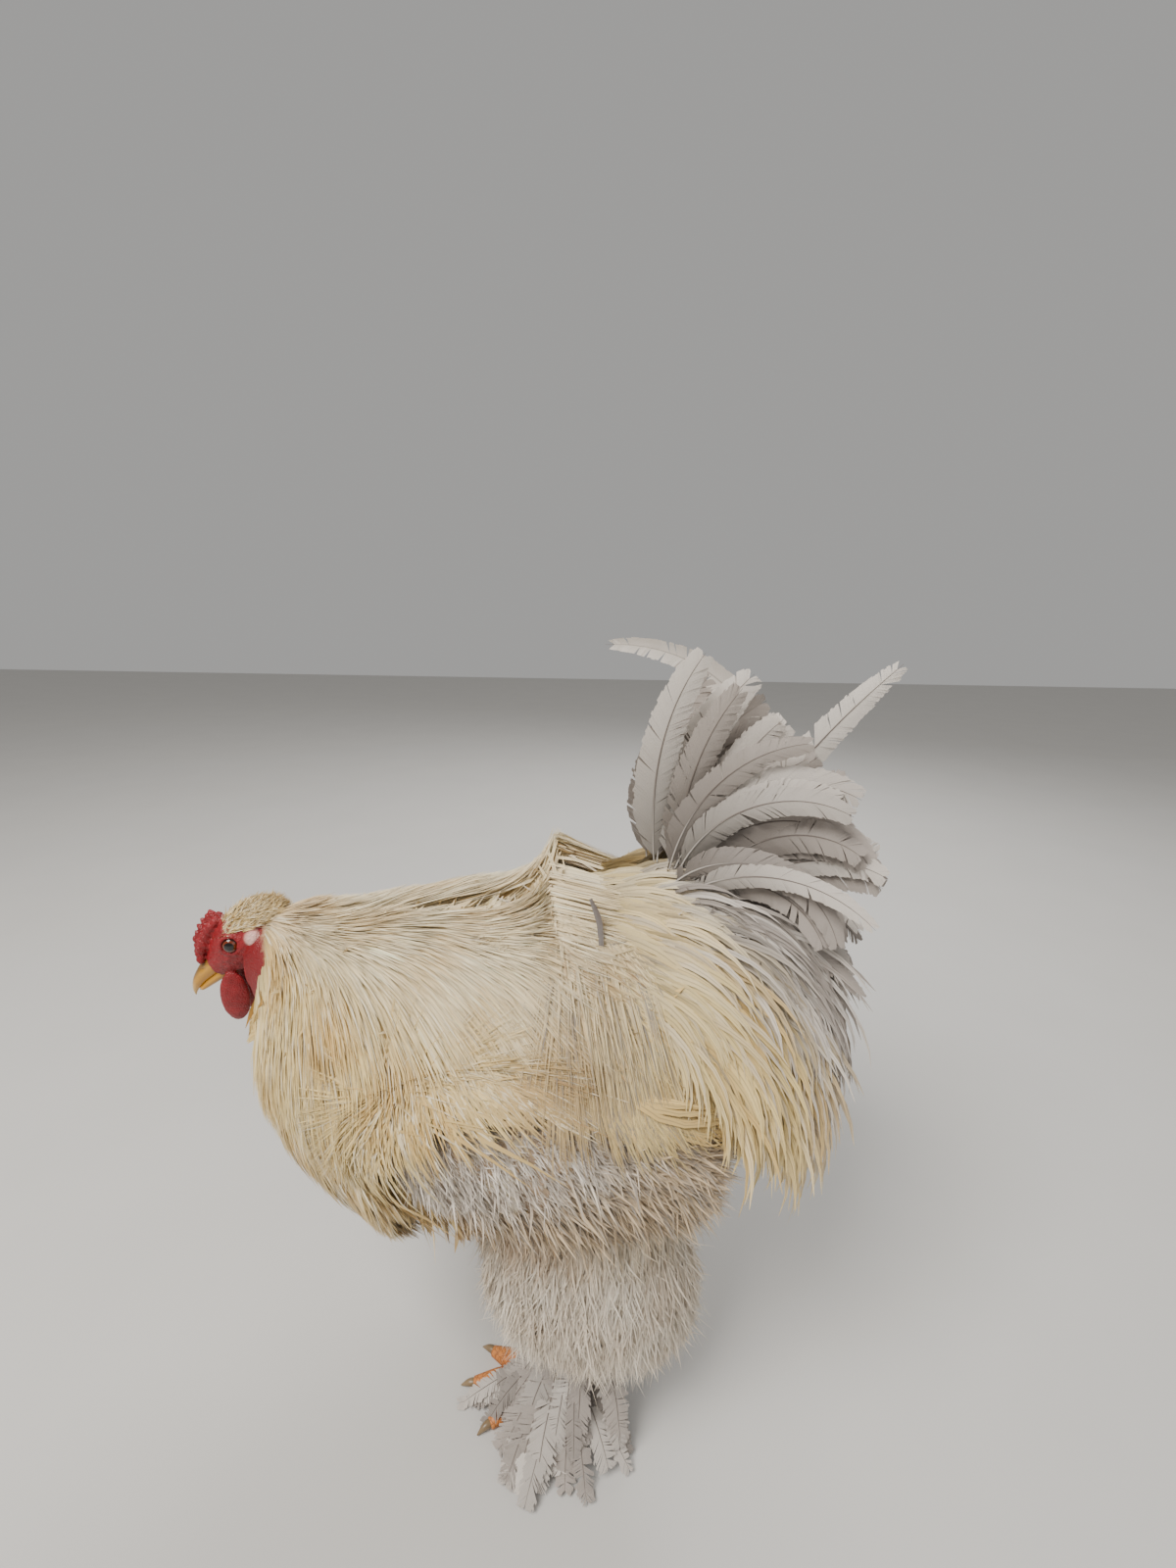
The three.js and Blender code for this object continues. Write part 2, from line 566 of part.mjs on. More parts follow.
// Wing feathers lie in tiers on the wing's pad, inside the room that other nodes leave it
const WING_TIERS = [
  { count: 3, x: -62, high: 12, length: 80, width: 44 },
  { count: 3, x: -18, high: 2, length: 96, width: 40 },
];
function wingFeathers(side) {
  const blob = wingBlob(side);
  return WING_TIERS.flatMap((tier, r) => Array.from({ length: tier.count }, (_, k) => {
    const down = mix(tier.high, -44, k / (tier.count - 1));
    const root = v(tier.x + 4 * k, side * 26, down).applyQuaternion(blob.turn).add(blob.centre);
    const way = v(1, 0, -0.08 + 0.05 * k).applyQuaternion(blob.turn);
    const path = [];
    for (let i = 0; i <= 3; i++) {
      const p = root.clone().addScaledVector(way, (tier.length * i) / 3);
      const want = mix(-4, 4.5 - 1.5 * r, Math.min(1, i / 2)) - 0.4 * k;
      for (let n = 0; n < 4; n++) p.y += side * (want - overBlob(p, blob).height) * 0.8;
      path.push({ at: p, out: overBlob(p, blob).out });
    }
    return vane(path, { width: tier.width, thick: 1.8, shape: rounded, cup: 0.08 });
  }));
}

// Legs: a feathered shank leans forward from the hock to the foot
const FOOT_X = -26;
const SHANK_TOP = v(20, 84, 130);
const SHANK_FOOT = v(FOOT_X, LEG_SPREAD, 12);
const SHANK_RADIUS = 11;
const TOES = [
  { name: "inner", aim: 0.42, length: 52, radius: 8 },
  { name: "middle", aim: -0.04, length: 60, radius: 8.5 },
  { name: "outer", aim: -0.6, length: 52, radius: 8 },
  { name: "hind", aim: Math.PI - 0.3, length: 32, radius: 7 },
];
const SOLE_FLAT = 2;
const LEG_AROUND = 8;
// A round solid through points, with a radius at each
function tube(points, radii, around = LEG_AROUND) {
  const last = points.length - 1;
  return loft(points.map((p, i) => {
    const way = points[Math.min(i + 1, last)].clone().sub(points[Math.max(i - 1, 0)]).normalize();
    const side = way.clone().cross(Math.abs(way.z) > 0.9 ? v(1, 0, 0) : v(0, 0, 1)).normalize();
    const over = side.clone().cross(way);
    return Array.from({ length: around }, (_, j) => {
      const a = (j / around) * 2 * Math.PI;
      return p.clone().addScaledVector(side, radii[i] * Math.cos(a)).addScaledVector(over, radii[i] * Math.sin(a));
    });
  }));
}
const mirrored = (p, side) => v(p.x, side * p.y, p.z);
function shankTube(side, grown = 0) {
  const top = mirrored(SHANK_TOP, side);
  const foot = mirrored(SHANK_FOOT, side);
  const way = foot.clone().sub(top).normalize();
  return tube([top.addScaledVector(way, -grown), foot], [SHANK_RADIUS + 1 + grown, SHANK_RADIUS + grown], 10);
}
// Each toe has two swells for its pads, and tapers to its claw
function toeBody(toe, side, grown = 0) {
  const aim = v(-Math.cos(toe.aim), -side * Math.sin(toe.aim), 0);
  const base = v(SHANK_FOOT.x, side * SHANK_FOOT.y, toe.radius - SOLE_FLAT);
  const pads = [[0, 1.05], [0.3, 0.92], [0.62, 1], [1, 0.5]];
  return tube(
    pads.map(([share, fat]) => base.clone().addScaledVector(aim, share * toe.length + (share && grown))
      .add(v(0, 0, (fat - 1) * 4))),
    pads.map(([, fat]) => toe.radius * fat + grown));
}
function claw(toe, side, grown = 0) {
  const aim = v(-Math.cos(toe.aim), -side * Math.sin(toe.aim), 0);
  const start = v(SHANK_FOOT.x, side * SHANK_FOOT.y, 4.6).addScaledVector(aim, toe.length - 3);
  const bend = [[0, 0, 3.2], [7, 0.4, 2.7], [14, -2.6, 0.8]];
  return tube(
    bend.map(([along, rise]) => start.clone().addScaledVector(aim, along && along + grown).add(v(0, 0, rise))),
    bend.map(([, , radius]) => radius + 2 * grown), 6);
}
const underFloor = new THREE.BoxGeometry(600, 600, 60);
underFloor.translate(0, 0, -30);
const floorBlock = solidOf(underFloor);

// Feathers on the shank's outer side and the outer toes fall to the floor and spread over it like a fan
const FOOT_FEATHERS = [
  { count: 3, high: 84, length: 98, aim: [-0.5, 0.35] },
  { count: 5, high: 52, length: 90, aim: [-1.15, 0.85] },
];
const FOOT_FEATHER_WIDTH = 32;
function footFeathers(side) {
  return FOOT_FEATHERS.flatMap((row, r) => Array.from({ length: row.count }, (_, k) => {
    const aim = mix(...row.aim, k / (row.count - 1)) + vary(0.04);
    const leg = (row.high - SHANK_FOOT.z) / (SHANK_TOP.z - SHANK_FOOT.z);
    const root = mirrored(SHANK_FOOT.clone().lerp(SHANK_TOP, leg), side);
    const way = v(Math.sin(aim), side * Math.cos(aim), 0.1).normalize();
    const path = [{ at: root, out: v(0, 0, 1) }];
    for (let i = 1; i <= 4; i++) {
      way.addScaledVector(DOWN, row.high / 150).normalize();
      const p = path[i - 1].at.clone().addScaledVector(way, (row.length * (1 + 0.1 * (k % 2))) / 4);
      const level = FEATHER_FLOOR + 2.4 * (k % 2) + 4 * (1 - r);
      if (p.z < level) {
        p.z = level;
        way.z = 0;
        way.normalize();
      }
      path.push({ at: p, out: v(-way.x * way.z, -way.y * way.z, 1).normalize() });
    }
    return vane(path, { width: FOOT_FEATHER_WIDTH, thick: 1.8, shape: rounded, cup: 0.04 });
  }));
}

// Each node gives way to the ones before it
addNode("neck", cut(
  join([trunkCore.neck, ...hackle.vanes]),
  placed(skullRoom), ...headRooms, trunkRoom.torso, trunkRoom.rump, ...wingRoom, ...thighRoom), straw);
const neckRoom = [hackle.room, trunkRoom.neck];
addNode("torso", trunkCore.torso, cream);
addNode("rump", cut(
  join([trunkCore.rump, ...saddle.vanes]),
  ...neckRoom, trunkRoom.torso, trunkRoom.tail, tailPad(GAP), ...wingRoom, ...thighRoom), straw);
addNode("tail", cut(
  join([trunkCore.tail, tailPad(), ...tailVanes]),
  saddle.room, trunkRoom.rump, ...wingRoom, ...thighRoom), lavender);
sides.forEach(([name, side], i) => {
  const wing = join([wingBody(side), ...wingFeathers(side)]).intersect(wingBody(side, WING_FEATHER_ROOM - GAP));
  addNode(`wing_${name}`, cut(wing, ...trunkRooms), cream);
  addNode(`thigh_${name}`, cut(thighBody(side), ...trunkRooms, wingRoom[i], shankTube(side, GAP)), cream);
  const toeRoom = TOES.map((toe) => toeBody(toe, side, GAP));
  const feathers = cut(join(footFeathers(side)), thighBody(side, GAP));
  addNode(`shank_${name}`, cut(
    shankTube(side).add(feathers), ...toeRoom, ...TOES.map((toe) => claw(toe, side, GAP)), floorBlock), lavender);
  addNode(`foot_${name}`, cut(join(TOES.map((toe) => toeBody(toe, side))), floorBlock), shank_yellow);
  TOES.forEach((toe) => addNode(`claw_${toe.name}_${name}`, cut(claw(toe, side), ...toeRoom, floorBlock), claw_horn));
});

// The origin: on the floor, under the middle of the bird's box
bird.updateMatrixWorld(true);
const whole = new THREE.Box3().setFromObject(bird, true);
const middle = whole.getCenter(v(0, 0, 0));
bird.children.forEach((child) => child.position.sub(v(middle.x, middle.y, 0)));

export default bird;
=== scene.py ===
"""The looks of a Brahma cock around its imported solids. Bird sizes are in millimetres, Blender's in metres."""
import math

import bpy
import numpy as np
from mathutils import Euler, Matrix, Quaternion, Vector


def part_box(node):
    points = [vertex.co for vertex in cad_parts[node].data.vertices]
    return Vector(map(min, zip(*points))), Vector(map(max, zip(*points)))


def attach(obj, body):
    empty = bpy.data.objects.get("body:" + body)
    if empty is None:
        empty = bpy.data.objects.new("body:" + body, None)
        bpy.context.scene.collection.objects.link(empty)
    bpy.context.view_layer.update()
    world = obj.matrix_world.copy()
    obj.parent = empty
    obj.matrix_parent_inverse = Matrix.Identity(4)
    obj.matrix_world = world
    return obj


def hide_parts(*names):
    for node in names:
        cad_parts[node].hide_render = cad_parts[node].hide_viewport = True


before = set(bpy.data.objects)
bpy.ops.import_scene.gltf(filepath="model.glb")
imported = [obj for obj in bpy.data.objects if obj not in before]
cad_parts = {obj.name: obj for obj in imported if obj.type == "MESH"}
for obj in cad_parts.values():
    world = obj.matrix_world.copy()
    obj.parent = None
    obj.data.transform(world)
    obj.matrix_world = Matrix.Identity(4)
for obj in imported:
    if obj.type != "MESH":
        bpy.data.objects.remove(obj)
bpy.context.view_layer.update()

MM = 0.001
rng = np.random.default_rng(11)
DOWN = np.array([0.0, 0.0, -1.0])
SIDES = (("left", -1), ("right", 1))

# The bird's own frame has the middle of its eyes here. Their boxes in the row say how far it was shifted.
HEAD_AT = np.array([-276.0, 0.0, 371.0])
EYE_MIDDLE = np.mean([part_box("eye_left"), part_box("eye_right")], axis=(0, 1))
SHIFT = EYE_MIDDLE - HEAD_AT * MM


# Helpers

def to_row(points):
    """Bird millimetres to row metres."""
    return np.asarray(points) * MM + SHIFT


def srgb(text):
    """A hex colour as linear red, green and blue."""
    c = np.array([int(text[i:i + 2], 16) for i in (1, 3, 5)]) / 255
    return np.where(c <= 0.04045, c / 12.92, ((c + 0.055) / 1.055) ** 2.4)


def mix(a, b, share):
    """From a to b by the share."""
    return a + (b - a) * share


def tinted(colours, other, share):
    """Rows of colours mixed with another colour, each by a share of its own."""
    return mix(colours, other, share[:, None])


def smooth(x, low, high):
    """From 0 at low to 1 at high, level at both ends."""
    s = np.clip((x - low) / (high - low), 0, 1)
    return s * s * (3 - 2 * s)


def band(x, middle, reach):
    """One in the middle of a band, fading to none at its reach."""
    return 1 - smooth(np.abs(x - middle), 0, reach)


def between(count, low, high):
    """Random values between two bounds."""
    return rng.uniform(low, high, count)


def unit(vectors):
    """Vectors drawn to length one."""
    return vectors / np.maximum(np.linalg.norm(vectors, axis=-1, keepdims=True), 1e-9)


def dot(a, b):
    """The dot products of vectors, kept as a column."""
    return np.sum(a * b, axis=-1, keepdims=True)


def turned(vectors, axis, angle):
    """Vectors turned about unit axes by angles, by Rodrigues' formula."""
    c, s = np.cos(angle)[..., None], np.sin(angle)[..., None]
    return vectors * c + np.cross(axis, vectors) * s + axis * dot(axis, vectors) * (1 - c)


def ripple(points, scale, seed=0.0):
    """A smooth value from -1 to 1 that varies in space over about the scale: a sum of turned sine waves."""
    x, y, z = np.moveaxis(np.asarray(points) / scale + seed, -1, 0)
    waves = (np.sin(1.7 * x + 2.3 * y + 0.9 * z) + np.sin(-2.1 * x + 1.1 * y + 2.6 * z + 1.3)
             + np.sin(2.9 * x - 1.9 * y + 1.4 * z + 4.1) + np.sin(0.8 * x + 3.1 * y - 2.2 * z + 2.2))
    return waves / 4


def catmull(points, t):
    """A uniform Catmull-Rom curve through points, at shares t of its spans: each span is the cubic between
    its two points whose slope at each is half the way from the point before it to the point after it."""
    points = np.asarray(points, float)
    row = np.vstack([2 * points[0] - points[1], points, 2 * points[-1] - points[-2]])
    spans = len(points) - 1
    place = np.clip(t, 0, 1) * spans
    span = np.minimum(place.astype(int), spans - 1)
    w = (place - span)[..., None]
    before, start, end, after = (row[span + k] for k in range(4))
    slope_at_start, slope_at_end = (end - before) / 2, (after - start) / 2
    return ((2 * w**3 - 3 * w**2 + 1) * start + (w**3 - 2 * w**2 + w) * slope_at_start
            + (3 * w**2 - 2 * w**3) * end + (w**3 - w**2) * slope_at_end)


# The trunk: spine places X and Z, with the plumage's reach above, below and beside them
STATIONS = np.array([
    (-262, 374, 28, 34, 25), (-232, 354, 50, 64, 60), (-190, 326, 86, 104, 100), (-138, 303, 110, 124, 130),
    (-80, 291, 120, 130, 146), (-20, 292, 136, 130, 150), (36, 307, 152, 122, 142), (80, 337, 138, 108, 120),
    (110, 376, 100, 70, 88), (124, 414, 66, 36, 52)], float)
SPINE_T = np.linspace(0, 1, 121)
SPINE_ROWS = catmull(STATIONS, SPINE_T)
SPINE_AT = SPINE_ROWS[:, :2]
SPINE_WAY = unit(np.gradient(SPINE_AT, axis=0))
# A point belongs to the spine row that it is nearest to along the spine, or rather to a wide one by this much
WIDE_ROW_BIAS = 12


def trunk_frame(t):
    """Spine place in X and Z, reach above, below and beside, and the spine's way in X and Z, at shares t."""
    return [np.interp(t, SPINE_T, column) for column in (*SPINE_ROWS.T, *SPINE_WAY.T)]


def trunk_point(t, angle, grown=0.0):
    """A point of the trunk's outline, an ellipse square to the spine whose upper and lower halves differ.
    Angle 0 is the back, pi the belly, plus is the bird's right."""
    x, z, above, below, beside, way_x, way_z = trunk_frame(t)
    tall = (np.where(np.cos(angle) > 0, above, below) + grown) * np.cos(angle)
    return np.stack([x - way_z * tall, (beside + grown) * np.sin(angle), z + way_x * tall], -1)


def over_trunk(points):
    """Height over the trunk's outline, the way out, and the trunk's t and angle, for many points. The share
    is the distance from the spine in radii of the outline, and the height is its part over one times that
    radius."""
    dx = points[:, None, 0] - SPINE_AT[None, :, 0]
    dz = points[:, None, 2] - SPINE_AT[None, :, 1]
    along = np.abs(dx * SPINE_WAY[:, 0] + dz * SPINE_WAY[:, 1])
    up = -dx * SPINE_WAY[:, 1] + dz * SPINE_WAY[:, 0]
    tall = np.where(up > 0, SPINE_ROWS[:, 2], SPINE_ROWS[:, 3])
    share = np.hypot(up / tall, points[:, None, 1] / SPINE_ROWS[:, 4])
    best = np.argmin(along + WIDE_ROW_BIAS * share, axis=1)
    row = np.arange(len(points))
    up, tall, share = up[row, best], tall[row, best], share[row, best]
    beside = SPINE_ROWS[best, 4]
    lift = up / tall**2
    way_x, way_z = SPINE_WAY[best].T
    out = unit(np.stack([-way_z * lift, points[:, 1] / beside**2, way_x * lift], -1))
    radius = np.hypot(up, points[:, 1]) / np.maximum(share, 1e-6)
    return (share - 1) * radius, out, SPINE_T[best], np.arctan2(points[:, 1] / beside, up / tall)


# The head has a frame of its own: eyes at the origin, beak towards -X
HEAD_PITCH, HEAD_YAW = math.radians(-34), math.radians(10)
HEAD_TURN = np.array((Quaternion((0, 0, 1), HEAD_YAW) @ Quaternion((0, 1, 0), HEAD_PITCH)).to_matrix())
EYE_BESIDE, EYE_RADIUS = 16.5, 6.4
# Sections square to the head's X: X, middle height, half height, half width
SKULL = np.array([
    (33, -3, 7, 6), (28, -3, 15, 13), (16, -3, 21, 18.5), (2, -4, 22.5, 19.5), (-11, -6, 19.5, 17),
    (-21, -8, 15, 13), (-29, -10, 11, 10)], float)
EAR_LOBE_AT, EAR_LOBE_HALF = np.array([18, 19.0, -6]), (7, 4.0, 7.5)


def from_head(points):
    """The head's frame to the bird's."""
    return points @ HEAD_TURN.T + HEAD_AT


def to_head(points):
    """The bird's frame to the head's."""
    return (points - HEAD_AT) @ HEAD_TURN


# How deep the skin lies under the plumage's outline: at the face, under hackles and saddle, and under down
FACE_DEPTH, COAT_DEPTH, SOFT_DEPTH, THIGH_DEPTH = 11, 22.0, 13.0, 13


def skin_depth(t, angle):
    """How far the skin lies inside the plumage's outline: deepest under hackles, back and saddle."""
    depth = mix(FACE_DEPTH, COAT_DEPTH, smooth(t, 0, 0.2)) * (1 - smooth(t, 0.9, 1))
    belly = smooth(t, 0.3, 0.42) * smooth(np.abs(angle), 1.9, 2.4)
    return np.maximum(depth * (1 - belly), SOFT_DEPTH * smooth(t, 0.05, 0.2))


def in_skin(t, angle, sunk):
    """Places in the trunk's skin, sunk a little below its surface."""
    return trunk_point(t, angle, -skin_depth(t, angle) - sunk)


class Blob:
    """An ellipsoid with a centre, half sizes and a turn."""

    def __init__(self, centre, half, turn=None):
        self.centre, self.half = np.array(centre, float), np.array(half, float)
        self.turn = np.array(turn or Matrix.Identity(3))

    def world(self, points):
        """The blob's own places as the bird's."""
        return points @ self.turn.T + self.centre

    def over(self, points):
        """Height over the surface and the way out, both from the distance in radii as on the trunk."""
        own = (points - self.centre) @ self.turn
        share = np.linalg.norm(own / self.half, axis=-1)
        out = unit((own / self.half**2) @ self.turn.T)
        radius = np.linalg.norm(own, axis=-1) / np.maximum(share, 1e-6)
        return (share - 1) * np.minimum(radius, np.cbrt(np.prod(self.half))), out


WING_AT, WING_HALF, WING_TURN = (-22.0, 118.0, 282.0), (104.0, 25.0, 56.0), (-0.16, 0.1, -0.04)
WINGS = {side: Blob((WING_AT[0], side * WING_AT[1], WING_AT[2]), WING_HALF,
                    Euler((side * WING_TURN[0], WING_TURN[1], side * WING_TURN[2]), "XYZ").to_matrix())
         for _, side in SIDES}
THIGHS = {side: Blob((8, side * 86, 160), (80, 50, 84)) for _, side in SIDES}
WINGS_ONLY, WINGS_AND_THIGHS = list(WINGS.values()), [*WINGS.values(), *THIGHS.values()]
# Thigh sections: height, middle X and Y, half length and half width
THIGH_SECTIONS = np.array([
    (258, -2, 66, 60, 46), (215, 2, 80, 78, 56), (165, 8, 88, 84, 53), (122, 14, 88, 76, 44),
    (92, 22, 84, 50, 29), (80, 26, 82, 22, 14)], float)


def thigh_row(z):
    """Middle and half sizes of the thigh at heights, by straight spans between its sections."""
    return [np.interp(z, THIGH_SECTIONS[::-1, 0], THIGH_SECTIONS[::-1, k]) for k in range(1, 5)]


def thigh_point(side, z, angle, grown):
    """A point of the thigh's outline, an ellipse at each height."""
    x, y, long, wide = thigh_row(z)
    return np.stack([x + (long + grown) * np.cos(angle), side * y + (wide + grown) * np.sin(angle), z], -1)


# The unwrap of the skin: trunk, head and both thighs have a field each

FIELDS = {"trunk": (0.02, 0.02, 0.58, 0.98), "head": (0.62, 0.54, 0.98, 0.98),
          "thigh_left": (0.62, 0.02, 0.78, 0.48), "thigh_right": (0.82, 0.02, 0.98, 0.48)}
HEAD_FRONT, HEAD_LONG = 62, 110
THIGH_LOW, THIGH_TALL = 80, 180


def turn_share(angle):
    """An angle from -pi to pi as a share of the full turn."""
    return (angle + np.pi) / (2 * np.pi)


def field_uv(field, across, along):
    """A place in a field of the unwrap, by shares across and along it."""
    left, low, right, high = FIELDS[field]
    return np.stack([mix(left, right, np.clip(along, 0, 1)), mix(low, high, across)], -1)


def trunk_uv(t, angle):
    return field_uv("trunk", turn_share(angle), t)


def head_uv(x, angle):
    return field_uv("head", turn_share(angle), (x + HEAD_FRONT) / HEAD_LONG)


def thigh_uv(name, z, angle):
    return field_uv(f"thigh_{name}", turn_share(angle), (z - THIGH_LOW) / THIGH_TALL)


# Meshes from arrays

PIECE_LIMIT = 190000
TUFT_PATCH = 0.003


def add_piece(name, surface, material, replaced, colours=None, uv_maps=None):
    """One mesh piece on the root body. The surface is vertex places in bird millimetres, held over the floor,
    and rows of vertex numbers. Colours go to the attribute Tint. UV maps have a row for each corner."""
    points, faces = surface
    faces = np.asarray(faces, np.int32)
    corners = faces.shape[1]
    points = points * [1, 1, 0] + np.maximum(points[:, 2:], 0) * [0, 0, 1]
    mesh = bpy.data.meshes.new(name)
    mesh.vertices.add(len(points))
    mesh.vertices.foreach_set("co", to_row(points).astype(np.float32).ravel())
    mesh.loops.add(faces.size)
    mesh.loops.foreach_set("vertex_index", faces.ravel())
    mesh.polygons.add(len(faces))
    mesh.polygons.foreach_set("loop_start", np.arange(0, faces.size, corners, dtype=np.int32))
    mesh.polygons.foreach_set("use_smooth", np.full(len(faces), True))
    mesh.update(calc_edges=True)
    for layer, values in (uv_maps or {}).items():
        mesh.uv_layers.new(name=layer).data.foreach_set("uv", values.astype(np.float32).ravel())
    if colours is not None:
        tint = mesh.attributes.new("Tint", "FLOAT_COLOR", "POINT")
        tint.data.foreach_set("color", np.c_[colours, np.ones(len(colours))].astype(np.float32).ravel())
    mesh.validate()
    mesh.materials.append(material)
    thing = bpy.data.objects.new(name, mesh)
    bpy.context.scene.collection.objects.link(thing)
    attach(thing, "root")
    if replaced:
        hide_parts(*replaced)


def grid_faces(count, rows, columns):
    """Quads of many grids of rows by columns vertices laid one after the other."""
    first = (np.arange(rows - 1)[:, None] * columns + np.arange(columns - 1)).ravel()
    quad = np.stack([first, first + columns, first + columns + 1, first + 1], -1)
    return (quad[None] + (np.arange(count) * rows * columns)[:, None, None]).reshape(-1, 4)


def grid_lie(across, along):
    """Across and along of a grid's vertices, row by row."""
    return np.stack(np.broadcast_arrays(np.array(across), along[:, None]), -1).reshape(-1, 2)


def add_coat(name, feathers, colours, root_uv, replaced, material):
    """Joins many like feathers to pieces under the limit. Feathers are points as (feather, vertex, 3), the
    quads of them all, and each vertex's place across and along its feather. A feather's patch of the map
    OFBake is that place, a few thousandths wide, about its root's place on the skin's unwrap."""
    points, faces, lie = feathers
    count, per = points.shape[:2]
    lie = np.broadcast_to(lie, (count, per, 2))
    bake = root_uv[:, None] + (lie - 0.5) * TUFT_PATCH
    face_count = len(faces) // count
    most = PIECE_LIMIT // (2 * face_count)
    for number, start in enumerate(range(0, count, most), start=1):
        own = slice(start, min(count, start + most))
        part = faces[:(own.stop - start) * face_count]
        corner = part.ravel()
        add_piece(f"{name}_{number}", (points[own].reshape(-1, 3), part), material, replaced,
                  colours[own].reshape(-1, 3),
                  {"OFBake": bake[own].reshape(-1, 2)[corner], "Lie": lie[own].reshape(-1, 2)[corner]})


# Colours of the bird, shared by skin and coat

STRAW, GOLD, CREAM, BUFF = srgb("#ecd496"), srgb("#cc9c4c"), srgb("#f6ebcf"), srgb("#cf9a52")
TAN, GREY, SHAFT = srgb("#a5825a"), srgb("#86807d"), srgb("#514944")
LAVENDER, PALE = srgb("#a59c95"), srgb("#d8d1c9")
DOWNY, FLANK, WING_WHITE = srgb("#ece2d2"), srgb("#bd9f7b"), srgb("#efe6da")
RED, ROSE, LOBE_WHITE = srgb("#7c020c"), srgb("#a51722"), srgb("#e6b9ae")
HORN, HORN_DARK, HORN_TIP = srgb("#c9932f"), srgb("#4f3a22"), srgb("#e0c58a")
CLAW, CLAW_DARK = srgb("#a08866"), srgb("#4d3b2a")
SCALE, SCALE_DEEP, SCALE_EDGE = srgb("#d88f45"), srgb("#b9673a"), srgb("#7c4a2a")
IRIS, IRIS_EDGE, PUPIL = srgb("#6e2a0a"), srgb("#1c0a06"), np.array([0.004, 0.003, 0.003])


def plumage(points):
    """The markings: buff nape, straw neck with gold patches, paler back, tan shoulders, brown flanks,
    lavender tail and feet, off-white thighs, and painted shade in tan low on the breast."""
    _, _, t, angle = over_trunk(points)
    up, z = np.cos(angle), points[:, 2]
    patch = ripple(points, 24, 3.0)
    colour = tinted(STRAW, GOLD, np.clip(0.22 + 0.45 * patch, 0, 0.8))
    colour = tinted(colour, CREAM, smooth(up, 0.35, 0.97) * (0.6 - 0.3 * patch))
    colour = tinted(colour, BUFF, 0.4 * (1 - smooth(t, 0.02, 0.12)))
    shoulder = band(t, 0.55, 0.17) * band(np.abs(angle), 1.0, 0.75)
    colour = tinted(colour, TAN, np.clip(shoulder * (0.75 + 0.5 * ripple(points, 15, 6.0)), 0, 0.9))
    # painted shade: the lower breast is tinted towards tan, standing in for the shadow under it
    painted_breast_shade = smooth(-up, 0.0, 0.9) * smooth(t, 0.12, 0.35)
    colour = tinted(colour, TAN, 0.55 * painted_breast_shade)
    colour = tinted(colour, FLANK, smooth(t, 0.42, 0.52) * smooth(-up, -0.15, 0.4))
    vent = smooth(t, 0.5, 0.66) * smooth(-up, 0.0, 0.5)
    colour = tinted(colour, mix(DOWNY, STRAW, 0.3), vent)
    colour = tinted(colour, LAVENDER, smooth(t, 0.83, 0.9) * (1 - 0.8 * vent))
    thigh = tinted(DOWNY, FLANK, np.clip(0.15 + 0.3 * patch, 0, 1))
    colour = tinted(colour, thigh, smooth(-z, -226, -200))
    return tinted(colour, LAVENDER, smooth(-z, -96, -70))


def strayed(colours, spread, toward=None, share=0.0):
    """Colours that differ from feather to feather, lighter or darker by the spread, some of them another."""
    count = len(colours)
    if toward is not None:
        chosen = rng.uniform(0, 1, (count, 1)) < share
        colours = mix(colours, toward, chosen * rng.uniform(0.4, 0.9, (count, 1)))
    return np.clip(colours * (1 + spread * rng.standard_normal((count, 1))), 0.01, 0.95)


def shaded(base, tip, s, columns, jitter=0.05):
    """Colours from base to tip along a feather, each feather a little lighter or darker."""
    tone = 1 + jitter * rng.standard_normal((len(base), 1, 1))
    colours = mix(base[:, None], tip[:, None], s[None, :, None]) * tone
    return np.clip(np.repeat(colours, columns, axis=1), 0, 1)


# Shader maths

class Value:
    """A node socket with arithmetic, so that a shader reads like a formula."""

    def __init__(self, tree, socket):
        self.tree, self.socket = tree, socket

    def maths(self, operation, other=None, swap=False):
        node = self.tree.nodes.new("ShaderNodeMath")
        node.operation = operation
        pair = [other, self] if swap else [self, other]
        for place, value in zip(node.inputs, pair):
            if isinstance(value, Value):
                self.tree.links.new(value.socket, place)
            elif value is not None:
                place.default_value = value
        return Value(self.tree, node.outputs[0])

    def __add__(self, other):
        return self.maths("ADD", other)

    __radd__ = __add__

    def __mul__(self, other):
        return self.maths("MULTIPLY", other)

    __rmul__ = __mul__

    def __sub__(self, other):
        return self.maths("SUBTRACT", other)

    def __rsub__(self, other):
        return self.maths("SUBTRACT", other, swap=True)

    def __pow__(self, other):
        return self.maths("POWER", other)

    def __abs__(self):
        return self.maths("ABSOLUTE")

    def sine(self):
        return self.maths("SINE")


